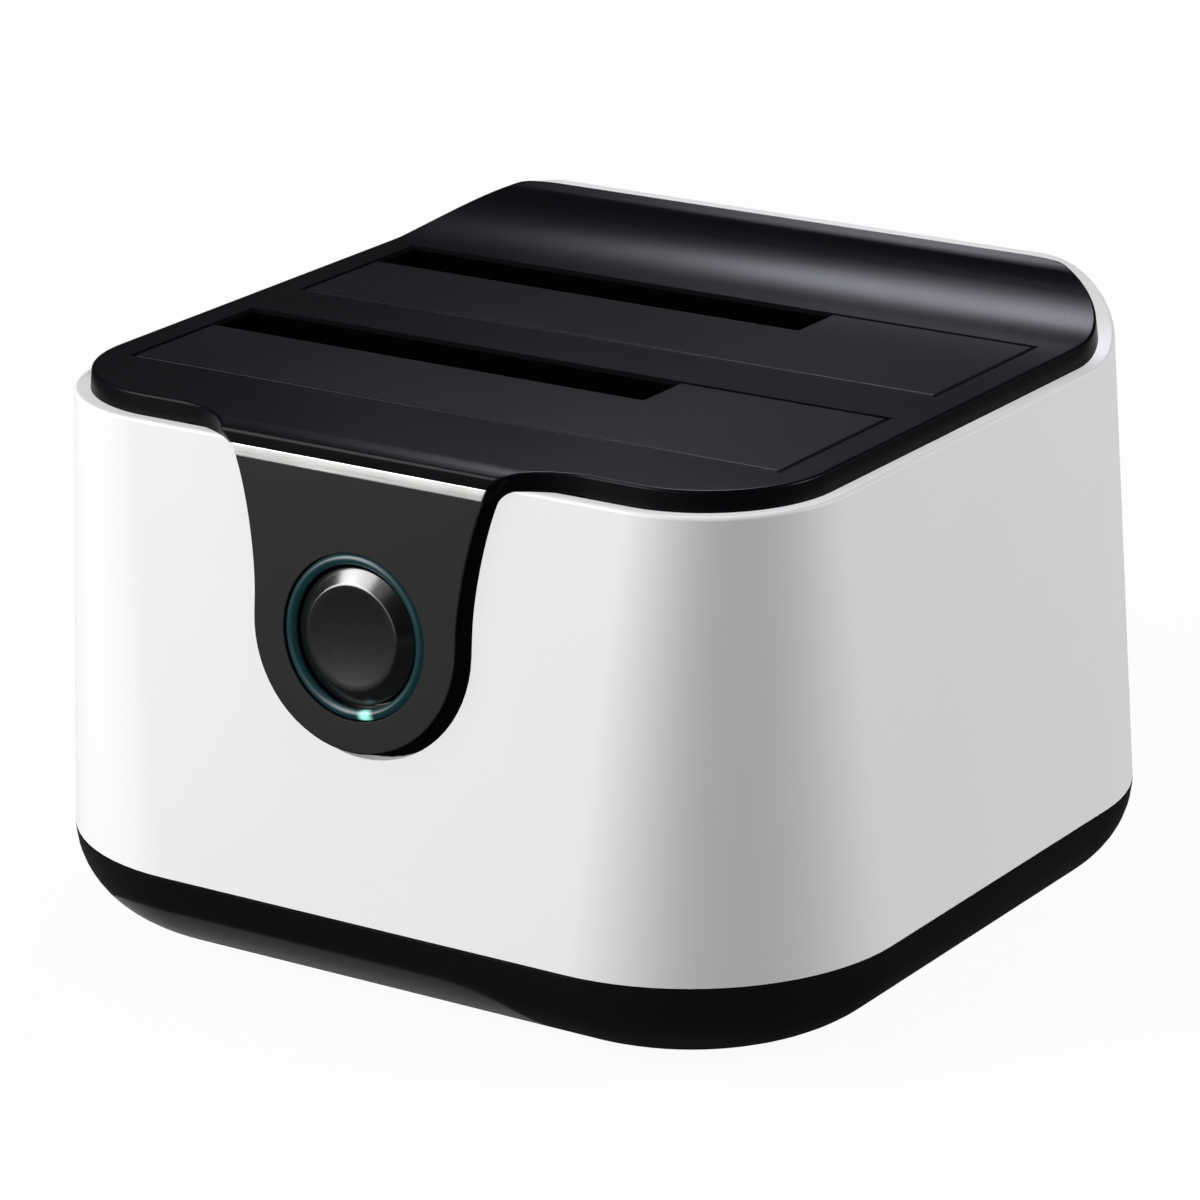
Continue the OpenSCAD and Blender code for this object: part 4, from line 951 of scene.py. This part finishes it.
paper, skin, wire = skin_of("pale paper")
place = wire.node("TexCoord", out="Object")
fibre = wire.node("TexNoise", values={"Vector": place, "Scale": 60.0})
tone = wire.node("ValToRGB", {"stops": [(0.3, (0.88, 0.88, 0.88)), (0.7, (0.9, 0.9, 0.9))]}, {0: fibre})
wire.plug(skin, {"Base Color": tone, "Roughness": 0.9, "Specular IOR Level": 0.0})
white = wire.node("Emission", values={"Color": (1, 1, 1, 1), "Strength": 1.0})
shown = wire.node("MixShader", values={0: seen_rays(wire, 0.95),
                                       1: Wire(wire.tree, skin.outputs[0]), 2: white})
wire.tree.links.new(shown.socket, wire.tree.nodes["Material Output"].inputs["Surface"])
bm = bmesh.new()
floor_half = 6
bmesh.ops.create_grid(bm, x_segments=1, y_segments=1, size=floor_half)
floor = stage_sheet("floor", bm, paper)
floor.visible_diffuse = False

flag_cloth = plastic("flag cloth", (0.02, 0.02, 0.02), 0.9, 800, 0.0001, level=0.0)
flags = []
flag_distance = 2.2
for name, way, spread in (("back_flag", (-0.53, 0.55, 0.64), 76), ("side_flag", (0.80, -0.45, 0.40), 48)):
    bm = bmesh.new()
    bmesh.ops.create_uvsphere(bm, u_segments=64, v_segments=32, radius=flag_distance)
    spots = [(face, face.calc_center_median().normalized()) for face in bm.faces]
    bmesh.ops.delete(bm, geom=[face for face, spot in spots if spot.z < 0
                               or spot.dot(Vector(way).normalized()) < cos(radians(spread))], context="FACES")
    flags.append(stage_sheet(name, bm, flag_cloth))
grey_card = plastic("grey card", (0.07, 0.07, 0.07), 0.9, 800, 0.0001, level=0.0)
white_card = plastic("white card", (0.5, 0.5, 0.5), 0.9, 800, 0.0001, level=0.0)
cards = (("floor_flag", grey_card, 0, (1.4, -1.4, 1.4, 0.7, 0.0002)),
         ("foot_card", white_card, -0.016, (0.040, -0.0585, -0.010, 0.020, 0.0004)))
for name, card, shift, outline in cards:
    bm = bmesh.new()
    bmesh.ops.edgeloop_fill(bm, edges=rounded_loop(bm, *outline))
    bmesh.ops.translate(bm, vec=(shift, 0, 0), verts=bm.verts)
    flags.append(stage_sheet(name, bm, card))
for flag in flags:
    flag.visible_camera = flag.visible_diffuse = flag.visible_transmission = flag.visible_shadow = False

sky = bpy.data.worlds.new("studio")
bpy.context.scene.world = sky
sky.use_nodes = True
wire = Wire(sky.node_tree)
ambient = 0.12
wire.plug(wire.tree.nodes["Background"], {"Color": (1, 1, 1, 1),
                                          "Strength": ambient + seen_rays(wire, 1.0) * (1 - ambient)})

# Camera: a long lens at the photograph's viewing angle, set from the edges of the case.
# Its small roll and shift are those of the photograph's framing.
camera = bpy.data.objects.new("camera", bpy.data.cameras.new("camera"))
bpy.context.scene.collection.objects.link(camera)
bpy.context.scene.camera = camera
azimuth, elevation, roll = radians(33.66), radians(18.66), radians(-0.75)
camera_aim, camera_distance = Vector((0.00012, -0.00087, 0.04316)), 0.7665
back = Vector((sin(azimuth) * cos(elevation), -cos(azimuth) * cos(elevation), sin(elevation)))
side = Vector((cos(azimuth), sin(azimuth), 0))
above = back.cross(side)
right, top = side * cos(roll) + above * sin(roll), above * cos(roll) - side * sin(roll)
camera.matrix_world = (Matrix.Translation(camera_aim + back * camera_distance)
                       @ Matrix((right, top, back)).transposed().to_4x4())
camera.data.sensor_width = 36
camera.data.lens = 166.9
camera.data.shift_x = 0.00115
bpy.context.scene.view_settings.view_transform = "Standard"
